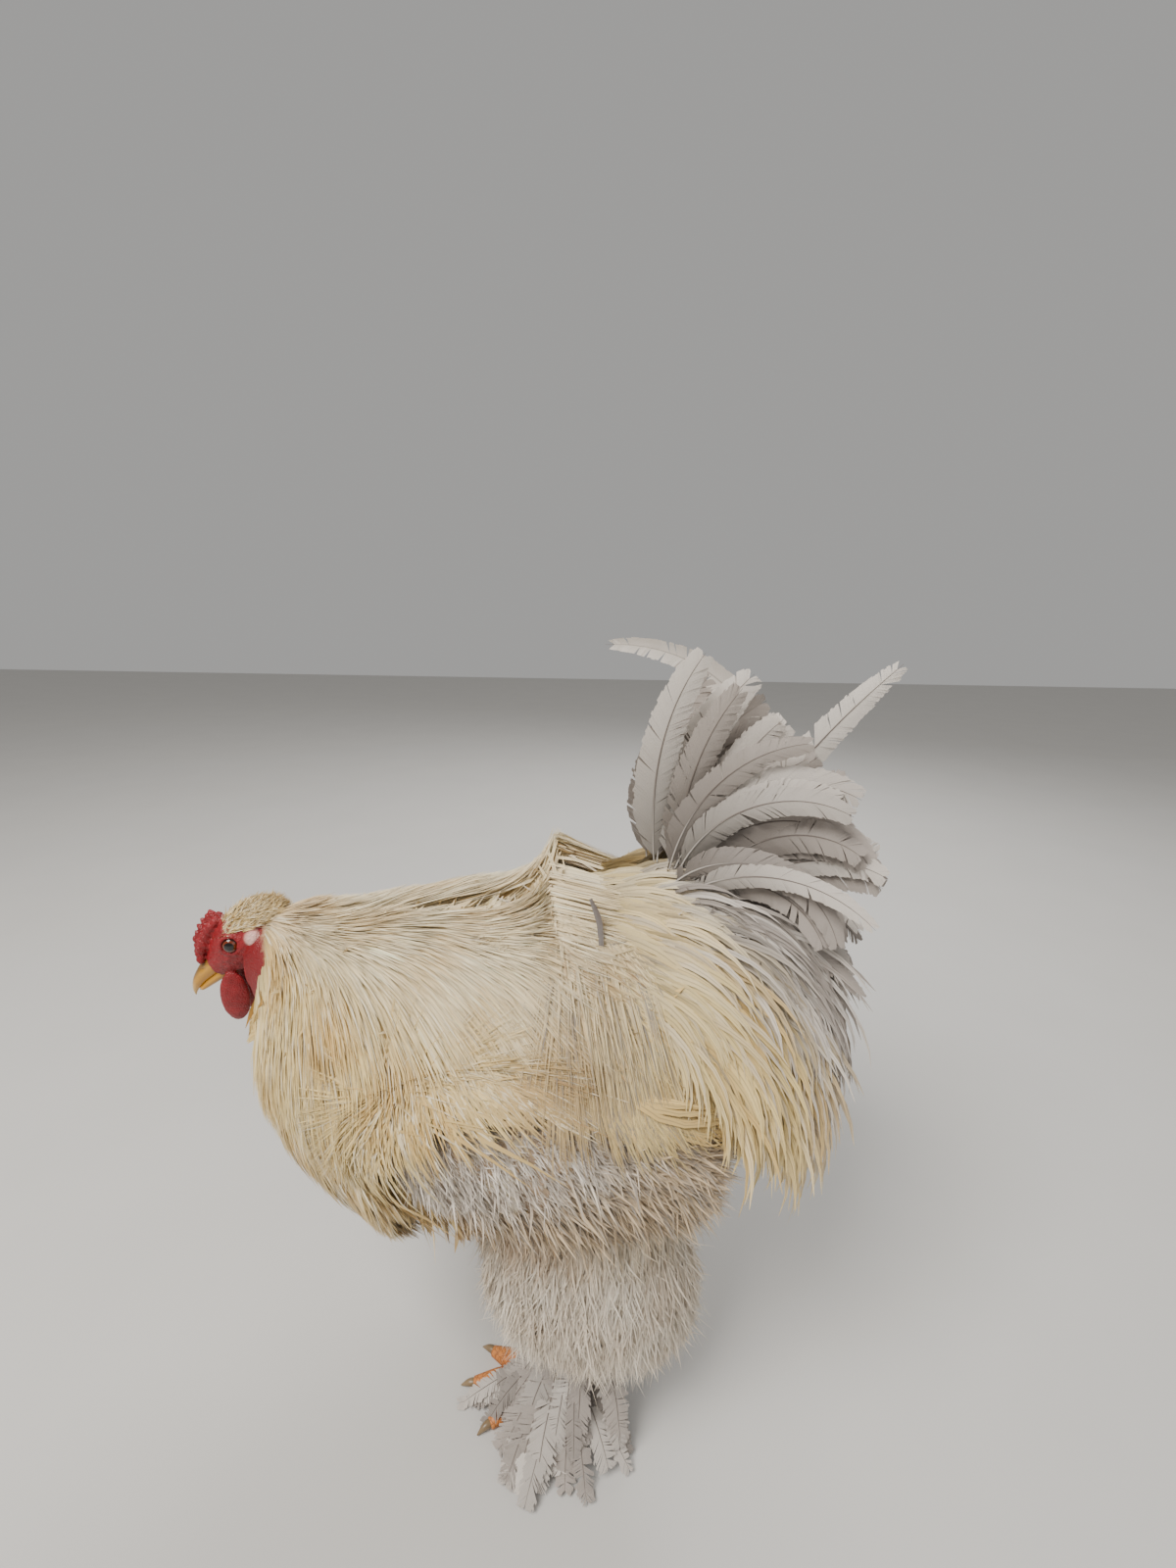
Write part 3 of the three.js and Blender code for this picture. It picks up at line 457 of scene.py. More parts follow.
class Finish:
    """A Principled material whose nodes are made through one method."""

    def __init__(self, name, roughness, **fixed):
        self.material = bpy.data.materials.new(name)
        self.material.use_nodes = True
        self.tree = self.material.node_tree
        self.shader = self.tree.nodes["Principled BSDF"]
        self.shader.inputs["Roughness"].default_value = roughness
        for key, value in fixed.items():
            self.shader.inputs[key.replace("_", " ")].default_value = value

    def node(self, kind, output, settings=None, sockets=None):
        """A node's output. Settings are set first, then sockets' values or links, by name or number."""
        node = self.tree.nodes.new(kind)
        for key, value in (settings or {}).items():
            setattr(node, key, value)
        for key, value in (sockets or {}).items():
            if isinstance(value, Value):
                self.tree.links.new(value.socket, node.inputs[key])
            else:
                node.inputs[key].default_value = value
        return Value(self.tree, node.outputs[output])

    def place(self):
        return self.node("ShaderNodeTexCoord", "Object")

    def tint(self):
        return self.node("ShaderNodeAttribute", "Color", {"attribute_name": "Tint"})

    def lie(self, axis):
        """Across (X) or along (Y) the feather, from 0 to 1."""
        lie = self.node("ShaderNodeUVMap", "UV", {"uv_map": "Lie"})
        return self.node("ShaderNodeSeparateXYZ", axis, sockets={"Vector": lie})

    def noise(self, scale, detail=3.0, roughness=0.5):
        sockets = {"Vector": self.place(), "Scale": scale, "Detail": detail, "Roughness": roughness}
        return self.node("ShaderNodeTexNoise", "Fac", sockets=sockets)

    def cells(self, scale, feature="F1"):
        """Distance in a Voronoi pattern, to the cell's middle or to its edge."""
        return self.node("ShaderNodeTexVoronoi", "Distance", {"feature": feature},
                         {"Vector": self.place(), "Scale": scale})

    def blend(self, a, b, share, kind="MIX"):
        """Two colours mixed, multiplied or screened by the share."""
        a, b = (value if isinstance(value, Value) else (*value, 1.0) for value in (a, b))
        settings = {"data_type": "RGBA", "blend_type": kind}
        return self.node("ShaderNodeMix", 2, settings, {0: share, 6: a, 7: b})

    def feed(self, name, value):
        self.tree.links.new(value.socket, self.shader.inputs[name])

    def bump(self, height, strength, distance):
        sockets = {"Height": height, "Strength": strength, "Distance": distance}
        self.feed("Normal", self.node("ShaderNodeBump", "Normal", sockets=sockets))


def feather_finish(name, roughness, quill, barb, streak, gloss):
    """Tint with a darker quill line of the given width, fine barbs as bump, and streaks along the vane. The
    barbs are a sine of the place along the feather less a part of the distance from its middle."""
    finish = Finish(name, roughness, Specular_IOR_Level=0.35, Sheen_Weight=gloss)
    middle = abs(finish.lie("X") - 0.5)
    line = (1.0 - middle * (1.0 / quill)).maths("MAXIMUM", 0.0)
    comb = ((finish.lie("Y") * barb - middle * (barb * 0.35)) * math.tau).sine()
    fibres = finish.noise(900.0, 2.0)
    shade = finish.tint()
    if quill > HAIRLINE:
        shade = finish.blend(shade, (0.55, 0.5, 0.44), line * 0.55, "MULTIPLY")
    shade = finish.blend(shade, tuple(0.6 * SHAFT + 0.1), line * 0.3)
    shade = finish.blend(shade, (0.62, 0.58, 0.53), (comb * 0.5 + 0.5) * streak, "MULTIPLY")
    shade = finish.blend(shade, (0.8, 0.77, 0.72), fibres * 0.5, "MULTIPLY")
    finish.feed("Base Color", shade)
    finish.bump(comb * 0.4 + fibres, 0.35, 0.0006)
    return finish.material


def plain_finish(name, roughness, **fixed):
    """The mesh's own colours and nothing else."""
    finish = Finish(name, roughness, **fixed)
    finish.feed("Base Color", finish.tint())
    return finish.material


def bare_skin_finish():
    """Red skin with painted shade in its folds, paler pores, and bumps from both."""
    bare = Finish("bare_skin", 0.4, Subsurface_Weight=0.05, Subsurface_Scale=0.002)
    pores = bare.cells(900.0)
    fold_bumps_and_shade = bare.noise(220.0, 4.0, 0.6)
    # painted shade: the red is darkened where the folds' pattern is high, as shadow in the folds
    tone = bare.blend(bare.tint(), (0.55, 0.35, 0.35), fold_bumps_and_shade ** 3.0, "MULTIPLY")
    bare.feed("Base Color", bare.blend(tone, (0.5, 0.1, 0.1), pores * 0.12, "SCREEN"))
    bare.bump(fold_bumps_and_shade * 1.6 - pores * 0.8, 0.55, 0.0012)
    return bare.material


def horn_finish():
    """Yellow horn, stained in cloudy patches."""
    horn = Finish("beak_horn", 0.32, Coat_Weight=0.25)
    horn.feed("Base Color", horn.blend(horn.tint(), (0.75, 0.65, 0.5), horn.noise(320.0) * 0.6, "MULTIPLY"))
    horn.bump(horn.noise(500.0), 0.15, 0.0004)
    return horn.material


def scaly_finish():
    """Orange yellow plates with dark seams."""
    scaly = Finish("scaly_skin", 0.5)
    plates = scaly.cells(260.0, "DISTANCE_TO_EDGE")
    orange = scaly.blend(tuple(SCALE), tuple(SCALE_DEEP), scaly.noise(60.0))
    seam = plates.maths("LESS_THAN", 0.06)
    scaly.feed("Base Color", scaly.blend(orange, tuple(SCALE_EDGE), seam * 0.6))
    scaly.bump(plates.maths("MINIMUM", 0.15), 0.8, 0.002)
    return scaly.material


def clouded_finish(name, roughness, colour, other, scale):
    """Two colours in soft clouds."""
    finish = Finish(name, roughness)
    finish.feed("Base Color", finish.blend(tuple(colour), tuple(other), finish.noise(scale)))
    return finish.material


HAIRLINE = 0.02
HACKLE = feather_finish("hackle", 0.46, quill=HAIRLINE, barb=26.0, streak=0.12, gloss=0.15)
SADDLE = feather_finish("saddle", 0.4, quill=0.12, barb=26.0, streak=0.12, gloss=0.1)
VANE = feather_finish("vane", 0.5, quill=0.04, barb=110.0, streak=0.16, gloss=0.1)
SOFT = feather_finish("down", 0.85, quill=HAIRLINE, barb=8.0, streak=0.05, gloss=0.3)
QUILL = plain_finish("quill", 0.4)
EYE = plain_finish("eye", 0.12, Coat_Weight=0.35, Coat_Roughness=0.03)
BARE, BEAK, SCALY = bare_skin_finish(), horn_finish(), scaly_finish()
NAIL = clouded_finish("claw", 0.35, CLAW, CLAW_DARK, 90.0)


# Long feathers over the trunk

# A blob holds feathers off by its clearance, and those that lie higher by this part of their height too
PILE = 0.4
ROLL = 0.3
# The way along the trunk is taken over this much of t, and the fall is the turn down its side over 0.03 of t
AHEAD, FALL_OVER = 0.02, 0.03
HALF_BACK, FULL_GIRTH = 1.6, 420.0
CREST_HIGH, CREST_T, CREST_REACH = 12, 0.69, 0.17


def scatter(count, t_range, angle_range, density=lambda t, angle: 1.0):
    """Random places on the trunk, spread by its own area and the density: t and angle, at most count."""
    t = rng.uniform(*t_range, count * 3)
    angle = rng.uniform(*angle_range, count * 3)
    _, _, above, below, beside, _, _ = trunk_frame(t)
    area = (above + below + beside) / FULL_GIRTH * density(t, angle)
    keep = rng.uniform(0, 1, len(t)) < area
    return t[keep][:count], angle[keep][:count]


def flow(t, angle, fall):
    """The way along the trunk, turned down its side by the fall."""
    ahead = trunk_point(np.minimum(t + AHEAD, 1.0), angle + np.sign(np.sin(angle)) * fall * AHEAD / FALL_OVER)
    return unit(ahead - trunk_point(t, angle))


def crest(t, angle):
    """How far the plumage bulges over the trunk's outline where the saddle starts."""
    return CREST_HIGH * band(t, CREST_T, CREST_REACH) * (1 - smooth(np.abs(angle), 0.5, 1.5))


def drape(roots, way, length, pull, lift, steps, blobs, clear, sway):
    """Paths of feathers. Each step bends down by the pull and sideways by the sway, keeps to the trunk at the
    height that lift gives for the share of the length, and stays clear of the blobs. Returns places and ways
    out."""
    place, way = roots.copy(), unit(way)
    out = over_trunk(place)[1]
    places, outs = [place], [out]
    for step in range(1, steps + 1):
        way = way + DOWN * (pull / steps)[:, None]
        way = way + sway / steps * ripple(place, 30.0)[:, None] * np.cross(way, out)
        way = unit(way - out * dot(way, out))
        moved = place + way * (length / steps)[:, None]
        height, out, t, angle = over_trunk(moved)
        want = lift(step / steps, t, angle)
        moved = moved + out * (want - height)[:, None]
        for blob in blobs:
            over, blob_out = blob.over(moved)
            lack = clear + PILE * (want + COAT_DEPTH) - over
            moved = moved + blob_out * np.maximum(lack, 0)[:, None]
            out = np.where((lack > 0)[:, None], blob_out, out)
        way = unit(moved - place)
        place = moved
        places.append(place)
        outs.append(out)
    return np.stack(places, 1), np.stack(outs, 1)


def lancet(s):
    """A hackle's width along its length: full before the middle, then drawn out to a point."""
    return np.minimum(1, 0.5 + 2.0 * s) * (1 - s**2.4)


def ribbons(places, outs, width):
    """Flat pointed feathers along paths: an edge on each side, half the lancet's width away, and each feather
    rolled a little round its quill."""
    count, steps = places.shape[:2]
    way = unit(np.gradient(places, axis=1))
    side = unit(np.cross(way, outs))
    side = turned(side, way, np.broadcast_to(ROLL * rng.standard_normal((count, 1)), (count, steps)))
    s = np.linspace(0, 1, steps)
    half = (width[:, None] / 2 * np.maximum(lancet(s), 0.04))[..., None]
    points = np.stack([places - side * half, places + side * half], 2)
    return points.reshape(count, -1, 3), grid_faces(count, steps, 2), grid_lie((0.0, 1.0), s)


def over_face(places):
    """Whether a feather's path passes over the bare face and its lobes."""
    x, y, z = np.moveaxis(to_head(places), -1, 0)
    return ((x < 28 + 0.25 * z) & (z > -84) & (z < 3) & (np.abs(y) < 36)).any(1)


def over_wing_front(places):
    """Whether a hackle's path has come down to the wing, below the cape's edge."""
    x, y, z = np.moveaxis(places, -1, 0)
    edge = 346 + 0.41 * np.clip(x, -126, 0) + 5 * np.sin(x / 9) + 4 * np.sin(x / 4)
    return (x > -132) & (z < edge) & (np.abs(y) > 60)


def over_flank(places):
    """Whether a saddle feather's path has come down to the saddle's lower edge."""
    x, y, z = np.moveaxis(places, -1, 0)
    edge = 322 - 0.2 * np.maximum(x - 40, 0) + 8 * np.sin(x / 7) + 5 * np.sin(x / 3)
    return (z < edge) & (np.abs(y) > 50)


def long_feathers(name, t, angle, length, width, pull, fall, replaced, material=HACKLE, steps=6,
                  blobs=(), clear=7.0, rise=0.0, ruffle=1.5, sway=0.3, dark=0.6, stray=None, stray_share=0.0,
                  stop=None):
    """Pointed feathers rooted in the skin, which climb to the plumage's outline towards their tips and over
    it by the rise and the ruffle's ripples. Each is cut where its path first meets the stop."""
    count = len(t)
    roots = in_skin(t, angle, sunk=2)
    way = (flow(t, angle, fall) + 0.03 * rng.standard_normal((count, 3))
           + 0.05 * ripple(roots, 9, 8.0)[:, None])
    waves = 0.8 * ripple(roots, 7, 5.0) + 0.8 * ripple(roots, 16, 1.0)
    top = ruffle * (waves + 0.3 * rng.standard_normal(count)) + rise

    def lift(share, t_there, angle_there):
        return mix(-skin_depth(t_there, angle_there) + 1, top + crest(t_there, angle_there), share**0.85)

    def draped(length):
        return drape(roots, way, length, pull, lift, steps, blobs, clear, sway)

    keep = np.ones(count, bool)
    if stop is not None:
        past = stop(draped(length)[0])
        share = np.where(past.any(1), past.argmax(1) / steps, 1.0)
        length = length * share * between(count, 0.92, 1.04)
        keep = share > 0.25
    places, outs = draped(length)
    keep &= ~over_face(places)
    roots, places, outs = roots[keep], places[keep], outs[keep]
    feathers = ribbons(places, outs, width[keep])
    base = strayed(plumage((roots + places[:, -1]) / 2), 0.05, stray, stray_share)
    base = base * (1 + 0.1 * ripple(roots, 6, 2.5))[:, None]
    colours = shaded(base * dark, base, smooth(np.linspace(0, 1, steps + 1), 0.0, 0.5), 2)
    add_coat(name, feathers, colours, trunk_uv(t[keep], angle[keep]), replaced, material)


def neck_hackles():
    """From the face back to where the saddle starts, longer and wider as they go, fuller at the throat."""
    t, angle = scatter(38000, (0.0, 0.41), (-np.pi, np.pi),
                       lambda t, a: 0.55 + 0.9 * (1 - smooth(t, 0, 0.25)))
    throat = smooth(-np.cos(angle), -0.2, 0.6) * smooth(t, 0.05, 0.2)
    long_feathers(
        "hackle", t, angle, replaced=["neck"],
        length=mix(28, 116, smooth(t, 0.0, 0.2)) * between(len(t), 0.8, 1.1),
        width=mix(1.8, 3.4, smooth(t, 0.0, 0.22)) * between(len(t), 0.75, 1.25),
        pull=mix(0.8, 0.55, smooth(t, 0.1, 0.4)), fall=0.02, steps=5, rise=2 + 11 * throat, ruffle=2.4,
        blobs=WINGS_ONLY, stop=over_wing_front, dark=0.72, stray=CREAM, stray_share=0.2)


def back_feathers():
    """Under and behind the cape."""
    t, angle = scatter(7200, (0.36, 0.66), (-HALF_BACK, HALF_BACK))
    long_feathers(
        "back", t, angle, replaced=["torso"],
        length=between(len(t), 56, 84), width=between(len(t), 3.2, 5.2), pull=np.full(len(t), 0.8), fall=0.03,
        rise=-1.0, blobs=WINGS_ONLY, stop=over_wing_front, dark=0.72, stray=TAN, stray_share=0.15)


def saddle():
    """Long hackles that stand up where the saddle starts and fall over the flanks, grey ones among them."""
    t, angle = scatter(12000, (0.565, 0.81), (-HALF_BACK, HALF_BACK), lambda t, a: smooth(t, 0.55, 0.65))
    long_feathers(
        "saddle", t, angle, replaced=["rump"], material=SADDLE,
        length=168 * (1 - 0.38 * (np.abs(angle) / HALF_BACK) ** 2) * between(len(t), 0.72, 1.08),
        width=between(len(t), 2.4, 4.2), pull=1.15 + 0.4 * smooth(t, 0.7, 0.86), fall=0.07, steps=7,
        ruffle=3.2, sway=0.8, blobs=WINGS_AND_THIGHS, stop=over_flank, dark=0.65, stray=LAVENDER * 0.8,
        stray_share=0.25)


def ridge():
    """Along the ridge of the back, straight to the tail."""
    t, angle = scatter(1500, (0.56, 0.72), (-0.7, 0.7))
    long_feathers(
        "ridge", t, angle, replaced=["rump"], material=SADDLE,
        length=between(len(t), 50, 76), width=between(len(t), 3.0, 5.0), pull=np.full(len(t), 0.05),
        fall=0.01, rise=1.0, ruffle=1.0, stray=LAVENDER, stray_share=0.2)


def saddle_tips():
    """The saddle's outermost feathers hang free to their points, each to a level of its own."""
    count = 260
    t = between(count, 0.63, 0.76)
    angle = np.tile([-1.0, 1.0], count // 2) * between(count, 0.75, 1.35)
    lower = between(count, 14, 44)[:, None, None] * -DOWN
    long_feathers(
        "saddle_tips", t, angle, replaced=["rump"], material=SADDLE,
        length=between(count, 130, 165), width=between(count, 4.5, 7.0), pull=np.full(count, 1.7), fall=0.07,
        steps=9, rise=3.0, clear=10.0, blobs=WINGS_AND_THIGHS, stop=lambda places: over_flank(places + lower),
        dark=0.8)


# Down and tufts

CURL = 0.25


def strands(roots, way, out, length, width, fall, spread, per, steps):
    """Soft tufts: each root carries a few thin ribbons that part by the spread. With the square of the share
    of its length, a ribbon swings aside by chance and droops by the fall."""
    each = (len(roots), per)
    s = np.linspace(0, 1, steps)[:, None]
    way = unit(way[:, None] + spread * rng.standard_normal((*each, 3)))[:, :, None]
    long = (length[:, None] * rng.uniform(0.65, 1.1, each))[..., None, None]
    swing = CURL * rng.standard_normal((*each, 1, 1)) * s**2
    side = unit(np.cross(way[:, :, 0], out[:, None] + 0.4 * rng.standard_normal((*each, 3))))[:, :, None]
    places = roots[:, None, None] + long * (way * s + side * swing + DOWN * fall * s**2)
    half = width[:, None, None, None] / 2 * (np.minimum(1, 0.5 + 2 * s) * (1 - s**2.5) + 0.06)
    points = np.stack([places - side * half, places + side * half], 3).reshape(len(roots), -1, 3)
    lie = np.tile(grid_lie((0.0, 1.0), s[:, 0]), (per, 1))
    return points, grid_faces(len(roots) * per, steps, 2), lie


def soft_tufts(name, roots, way, out, length, width, fall, spread, uv, slot, replaced, colour, per=4, steps=3,
               dark=0.62):
    """A coat of soft tufts, darker at their roots."""
    s = np.tile(np.linspace(0, 1, steps), per)
    feathers = strands(roots, way, out, length, width, fall, spread, per, steps)
    colours = shaded(colour * dark, colour, smooth(s, 0.0, 0.6), 2, 0.07)
    add_coat(name, feathers, colours, uv, replaced, SOFT)


def trunk_tufts(name, t, angle, lift, length, width, fall, spread, slot, stray=None, **more):
    """Soft tufts on the trunk that lean out by the lift. Stray is what strayed is given after the colours."""
    roots = in_skin(t, angle, sunk=1)
    out = over_trunk(roots)[1]
    colour = plumage(roots) if stray is None else strayed(plumage(roots), *stray)
    soft_tufts(name, roots, flow(t, angle, 0.0) + lift * out, out, length, width, fall, spread,
               trunk_uv(t, angle), slot, [], colour, **more)


def undercoat():
    """Closes the gaps between the long feathers, but not under the saddle's crest, where it would show."""
    t, angle = scatter(4200, (0.1, 0.9), (-2.4, 2.4), lambda t, a: (t < 0.6) | (np.abs(a) > 1.1))
    trunk_tufts("undercoat", t, angle, 0.6, length=between(len(t), 20, 30), width=between(len(t), 6, 9),
                fall=0.1, spread=0.3, slot="cream", per=3, dark=0.8)


def belly():
    """Belly and abdomen, all round the trunk's lower side."""
    side = 1.35
    t, angle = scatter(8200, (0.30, 1.0), (side, 2 * np.pi - side))
    angle = np.where(angle > np.pi, angle - 2 * np.pi, angle)
    trunk_tufts("belly", t, angle, 0.3, length=between(len(t), 26, 40), width=between(len(t), 1.3, 2.2),
                fall=0.1, spread=0.12, slot="cream", stray=(0.05,))


def tail_base():
    """Wide soft tufts all round the trunk's end."""
    t, angle = scatter(1500, (0.82, 1.0), (-np.pi, np.pi))
    trunk_tufts("tail_base", t, angle, 0.5, length=between(len(t), 24, 36), width=between(len(t), 3.0, 5.0),
                fall=0.15, spread=0.25, slot="lavender", stray=(0.06, PALE, 0.5), steps=4)


def thigh_coat(name, side):
    """Loose tufts down the thigh, with a shallow hollow on its inner side."""
    count = 7600
    z = 84 + 160 * rng.uniform(0, 1, count) ** 0.9
    angle = between(count, -np.pi, np.pi)
    hollow = 7 * band(angle, -0.35 * side * np.pi, 0.5) * band(z, 120, 60)
    roots = thigh_point(side, z, angle, -9 - hollow)
    out = unit(np.stack([np.cos(angle), np.sin(angle), -0.25 * np.ones(count)], -1))
    way = DOWN + 0.22 * out + 0.16 * ripple(roots, 12, 2.0)[:, None] * np.array([1.0, 0.4, 0.0])
    soft_tufts(f"thigh_coat_{name}", roots, way, out, length=between(count, 20, 34),
               width=between(count, 1.1, 1.9), fall=0.05, spread=0.09, uv=thigh_uv(name, z, angle),
               slot="cream", replaced=[f"thigh_{name}"], colour=strayed(plumage(roots), 0.04), dark=0.9)


# Broad feathers with barbs

SWEEP = 0.7
SHAFT_CORNERS = 4


def along_paths(places, s):
    """Places on paths at shares s, by straight spans. Places are (feather, step, 3), s is (feather, any)."""
    spans = places.shape[1] - 1
    place = np.clip(s, 0, 1) * spans
    span = np.minimum(place.astype(int), spans - 1)
    w = (place - span)[..., None]
    row = np.arange(len(places))[:, None]
    return places[row, span] * (1 - w) + places[row, span + 1] * w


def oval(s):
    """A body feather's width along its length: narrow root, broad and round end."""
    return np.minimum(1, 0.35 + 2.2 * s) * np.sqrt(np.clip(1 - s**5, 0, 1))


def sickle(s):
    """A tail feather's width along its length: soon full, slowly narrower, round at the end."""
    return np.minimum(1, 0.4 + 3.0 * s) * (1 - 0.2 * s) * np.sqrt(np.clip(1 - s**4, 0, 1))


def barbed(places, outs, width, shape, barbs, stations=4, cup=0.16, split=0.07, ragged=0.035):
    """Broad feathers. On each side of the shaft, bunches of barbs lie side by side, each a strip from the
    shaft out to half the width, ragged by chance. A strip leans towards the tip by the sweep and hangs by the
    cup with the square of its reach. Where the vane splits, the strips lean apart and are narrow at their
    ends. Arrays run over feather, side, barb, station out from the shaft, and the strip's two edges. Returns
    points, quads, the places across and along, and the places along alone."""
    count = len(places)
    each = (count, 2, barbs)
    way = unit(np.gradient(places, axis=1))
    side = unit(np.cross(way, outs))
    out = np.cross(side, way)
    length = np.linalg.norm(np.diff(places, axis=1), axis=2).sum(1)[:, None, None, None, None]
    lean = np.cumsum((rng.uniform(0, 1, each) < split) * rng.uniform(-0.5, 0.5, each), axis=2)
    lean = (SWEEP * (1 + 0.5 * np.sin(3 * lean)))[..., None, None]
    gap = 1 - 0.75 * (rng.uniform(0, 1, each) < split)
    reach = (1 + ragged * rng.standard_normal(each))[..., None, None]
    rise = (0.25 * rng.standard_normal(each))[..., None, None]
    w = np.linspace(0, 1, stations)[:, None]
    edge_s = (0.03 + 0.94 * ((np.arange(barbs)[:, None] + [0, 1]) / barbs))[:, None, :]
    narrow = np.stack([np.zeros_like(gap), (1 - gap) * (1 / barbs)], -1)[:, :, :, None, :] * w
    half = (width / 2)[:, None, None, None, None]
    lateral = w * reach
    s = np.clip(edge_s + lean * lateral * half / length - narrow, 0, 1)
    at, beside, up = (along_paths(a, s.reshape(count, -1)).reshape(*s.shape, 3) for a in (places, side, out))
    wide = half * np.maximum(shape(edge_s), 0.03) * lateral
    sign = np.array([-1.0, 1.0])[:, None, None, None]
    points = (at + beside * (sign * wide)[..., None] - up * (cup * wide * lateral)[..., None]
              + up * (rise * w)[..., None])
    lie = np.stack([0.5 + 0.5 * sign * w + 0 * s, s], -1)
    faces = grid_faces(count * 2 * barbs, stations, 2)
    return points.reshape(count, -1, 3), faces, lie.reshape(count, -1, 2), s.reshape(count, -1)


def quills(places, outs, thick):
    """The shafts: three-sided rods along the paths, tapered to the tip, with the seam's corner laid twice."""
    count, steps = places.shape[:2]
    way = unit(np.gradient(places, axis=1))
    side = unit(np.cross(way, outs))
    out = np.cross(side, way)
    s = np.linspace(0, 1, steps)
    r = (thick * (1 - 0.85 * s))[None, :, None]
    corners = [side * r + out * r * 0.1, out * r * 1.1, -side * r + out * r * 0.1, side * r + out * r * 0.1]
    points = np.stack([places + corner for corner in corners], 2).reshape(count, -1, 3)
    return points, grid_faces(count, steps, SHAFT_CORNERS), grid_lie((0.5,) * SHAFT_CORNERS, s)


def broad_feathers(name, places, outs, width, uv, slot, replaced, base, tip, barbs, shape=oval, thick=0.9,
                   **vane):
    """Vanes from the base's colour to the tip's, and darker shafts as a piece of their own."""
    points, faces, lie, s = barbed(places, outs, width, shape, barbs, **vane)
    tone = 1 + 0.05 * rng.standard_normal((len(places), 1, 1))
    colours = np.clip(mix(base[:, None], tip[:, None], smooth(s, 0.0, 0.9)[..., None]) * tone, 0, 1)
    add_coat(name, (points, faces, lie), colours, uv, replaced, VANE)
    rods = quills(places, outs, thick)
    dark = smooth(np.linspace(0, 1, places.shape[1]), 0.02, 0.5)
    shaft = np.repeat(tinted(PALE * 0.8, SHAFT * 1.7, dark), SHAFT_CORNERS, axis=0)
    add_coat(f"{name}_quills", rods, np.broadcast_to(shaft, rods[0].shape), uv, [], QUILL)


# Tail

# Tiers of pairs: how many, front and back roots, then from the front pair to the back one: rise, splay and
# length, one width, curl, and one droop
TAIL_TIERS = (
    (13, (48, 5, 440), (124, 12, 436), (1.7, 0.95), (0.1, 0.2), (164, 98), 33, (0.9, 0.4), 0.5),
    (14, (60, 20, 442), (122, 22, 426), (1.5, 0.65), (0.3, 0.32), (162, 94), 27, (1.9, 1.3), 0.6),
    (16, (66, 30, 434), (116, 26, 406), (1.0, 0.1), (0.5, 0.35), (142, 86), 21, (2.3, 1.4), 0.3),
    (13, (80, 44, 408), (104, 34, 362), (0.4, -0.6), (0.45, 0.25), (118, 84), 19, (1.6, 0.7), 0.1),
)
TAIL_UV_T = 0.97
BROKEN_QUILL = np.array([(3, -62, 436), (9, -72, 424), (12, -88, 406), (24, -104, 384)], float)


def plumes(root, rise, splay, length, curl, droop, steps=22):
    """Tail feathers: each rises at an angle over the floor, leans out by its splay and turns back and down by
    its curl, more towards the tip by its droop."""
    side = np.where(root[:, 1] < 0, -1.0, 1.0)
    way = unit(np.stack([np.cos(rise), side * splay, np.sin(rise)], -1))
    axis = np.broadcast_to(np.array([0.0, 1.0, 0.0]), way.shape)
    places = [root]
    for step in range(1, steps + 1):
        way = turned(way, axis, (curl + droop * (2 * step / steps - 1)) / steps)
        places.append(places[-1] + way * (length / steps)[:, None])
    places = np.stack(places, 1)
    outs = np.broadcast_to(np.stack([0 * side, side, 0.2 + 0 * side], -1)[:, None], places.shape)
    return places, outs


def tail_tier(number, pairs, front, back, rise, splay, length, width, curl, droop):
    """One layer of the fan, both sides."""
    share = np.repeat(np.linspace(0, 1, pairs), 2)
    side = np.tile([-1.0, 1.0], pairs)
    count = len(share)
    root = tinted(np.array(front, float), np.array(back, float), share)
    root[:, 1] *= side
    root += 2.0 * rng.standard_normal(root.shape)
    places, outs = plumes(
        root, rise=mix(*rise, share) + 0.07 * rng.standard_normal(count),
        splay=mix(*splay, share) + 0.09 * rng.standard_normal(count),
        length=mix(*length, share) * between(count, 0.86, 1.04),
        curl=mix(*curl, share) + 0.25 * rng.standard_normal(count), droop=np.full(count, droop))
    tint = strayed(np.broadcast_to(LAVENDER, root.shape), 0.1, PALE, 0.4)
    uv = trunk_uv(np.full(count, TAIL_UV_T), side * (0.4 + share))
    broad_feathers(f"tail_tier{number}", places, outs, width * between(count, 0.8, 1.15), uv, "lavender",
                   ["tail"] if number == 1 else [], tint * 0.62, tint * 1.08, barbs=64, shape=sickle,
                   thick=0.7)


def tail_strays():
    """Two pale plumes that go ways of their own: one bends forward over the fan, one stands out behind it."""
    root = np.array([(124.0, 14.0, 446.0), (112.0, -8.0, 452.0)])
    rise, splay, length, curl, droop = np.array([
        (0.95, 1.15), (0.06, 0.1), (236.0, 172.0), (-2.25, 0.35), (0.5, 0.0)])
    places, outs = plumes(root, rise, splay, length, curl, droop)
    tint = np.broadcast_to(PALE, root.shape)
    uv = trunk_uv(np.full(2, TAIL_UV_T), np.array([0.2, -0.2]))
    broad_feathers("tail_strays", places, outs, np.array([24.0, 26.0]), uv, "lavender", [], tint * 0.8,
                   tint * 1.1, barbs=80, shape=sickle)


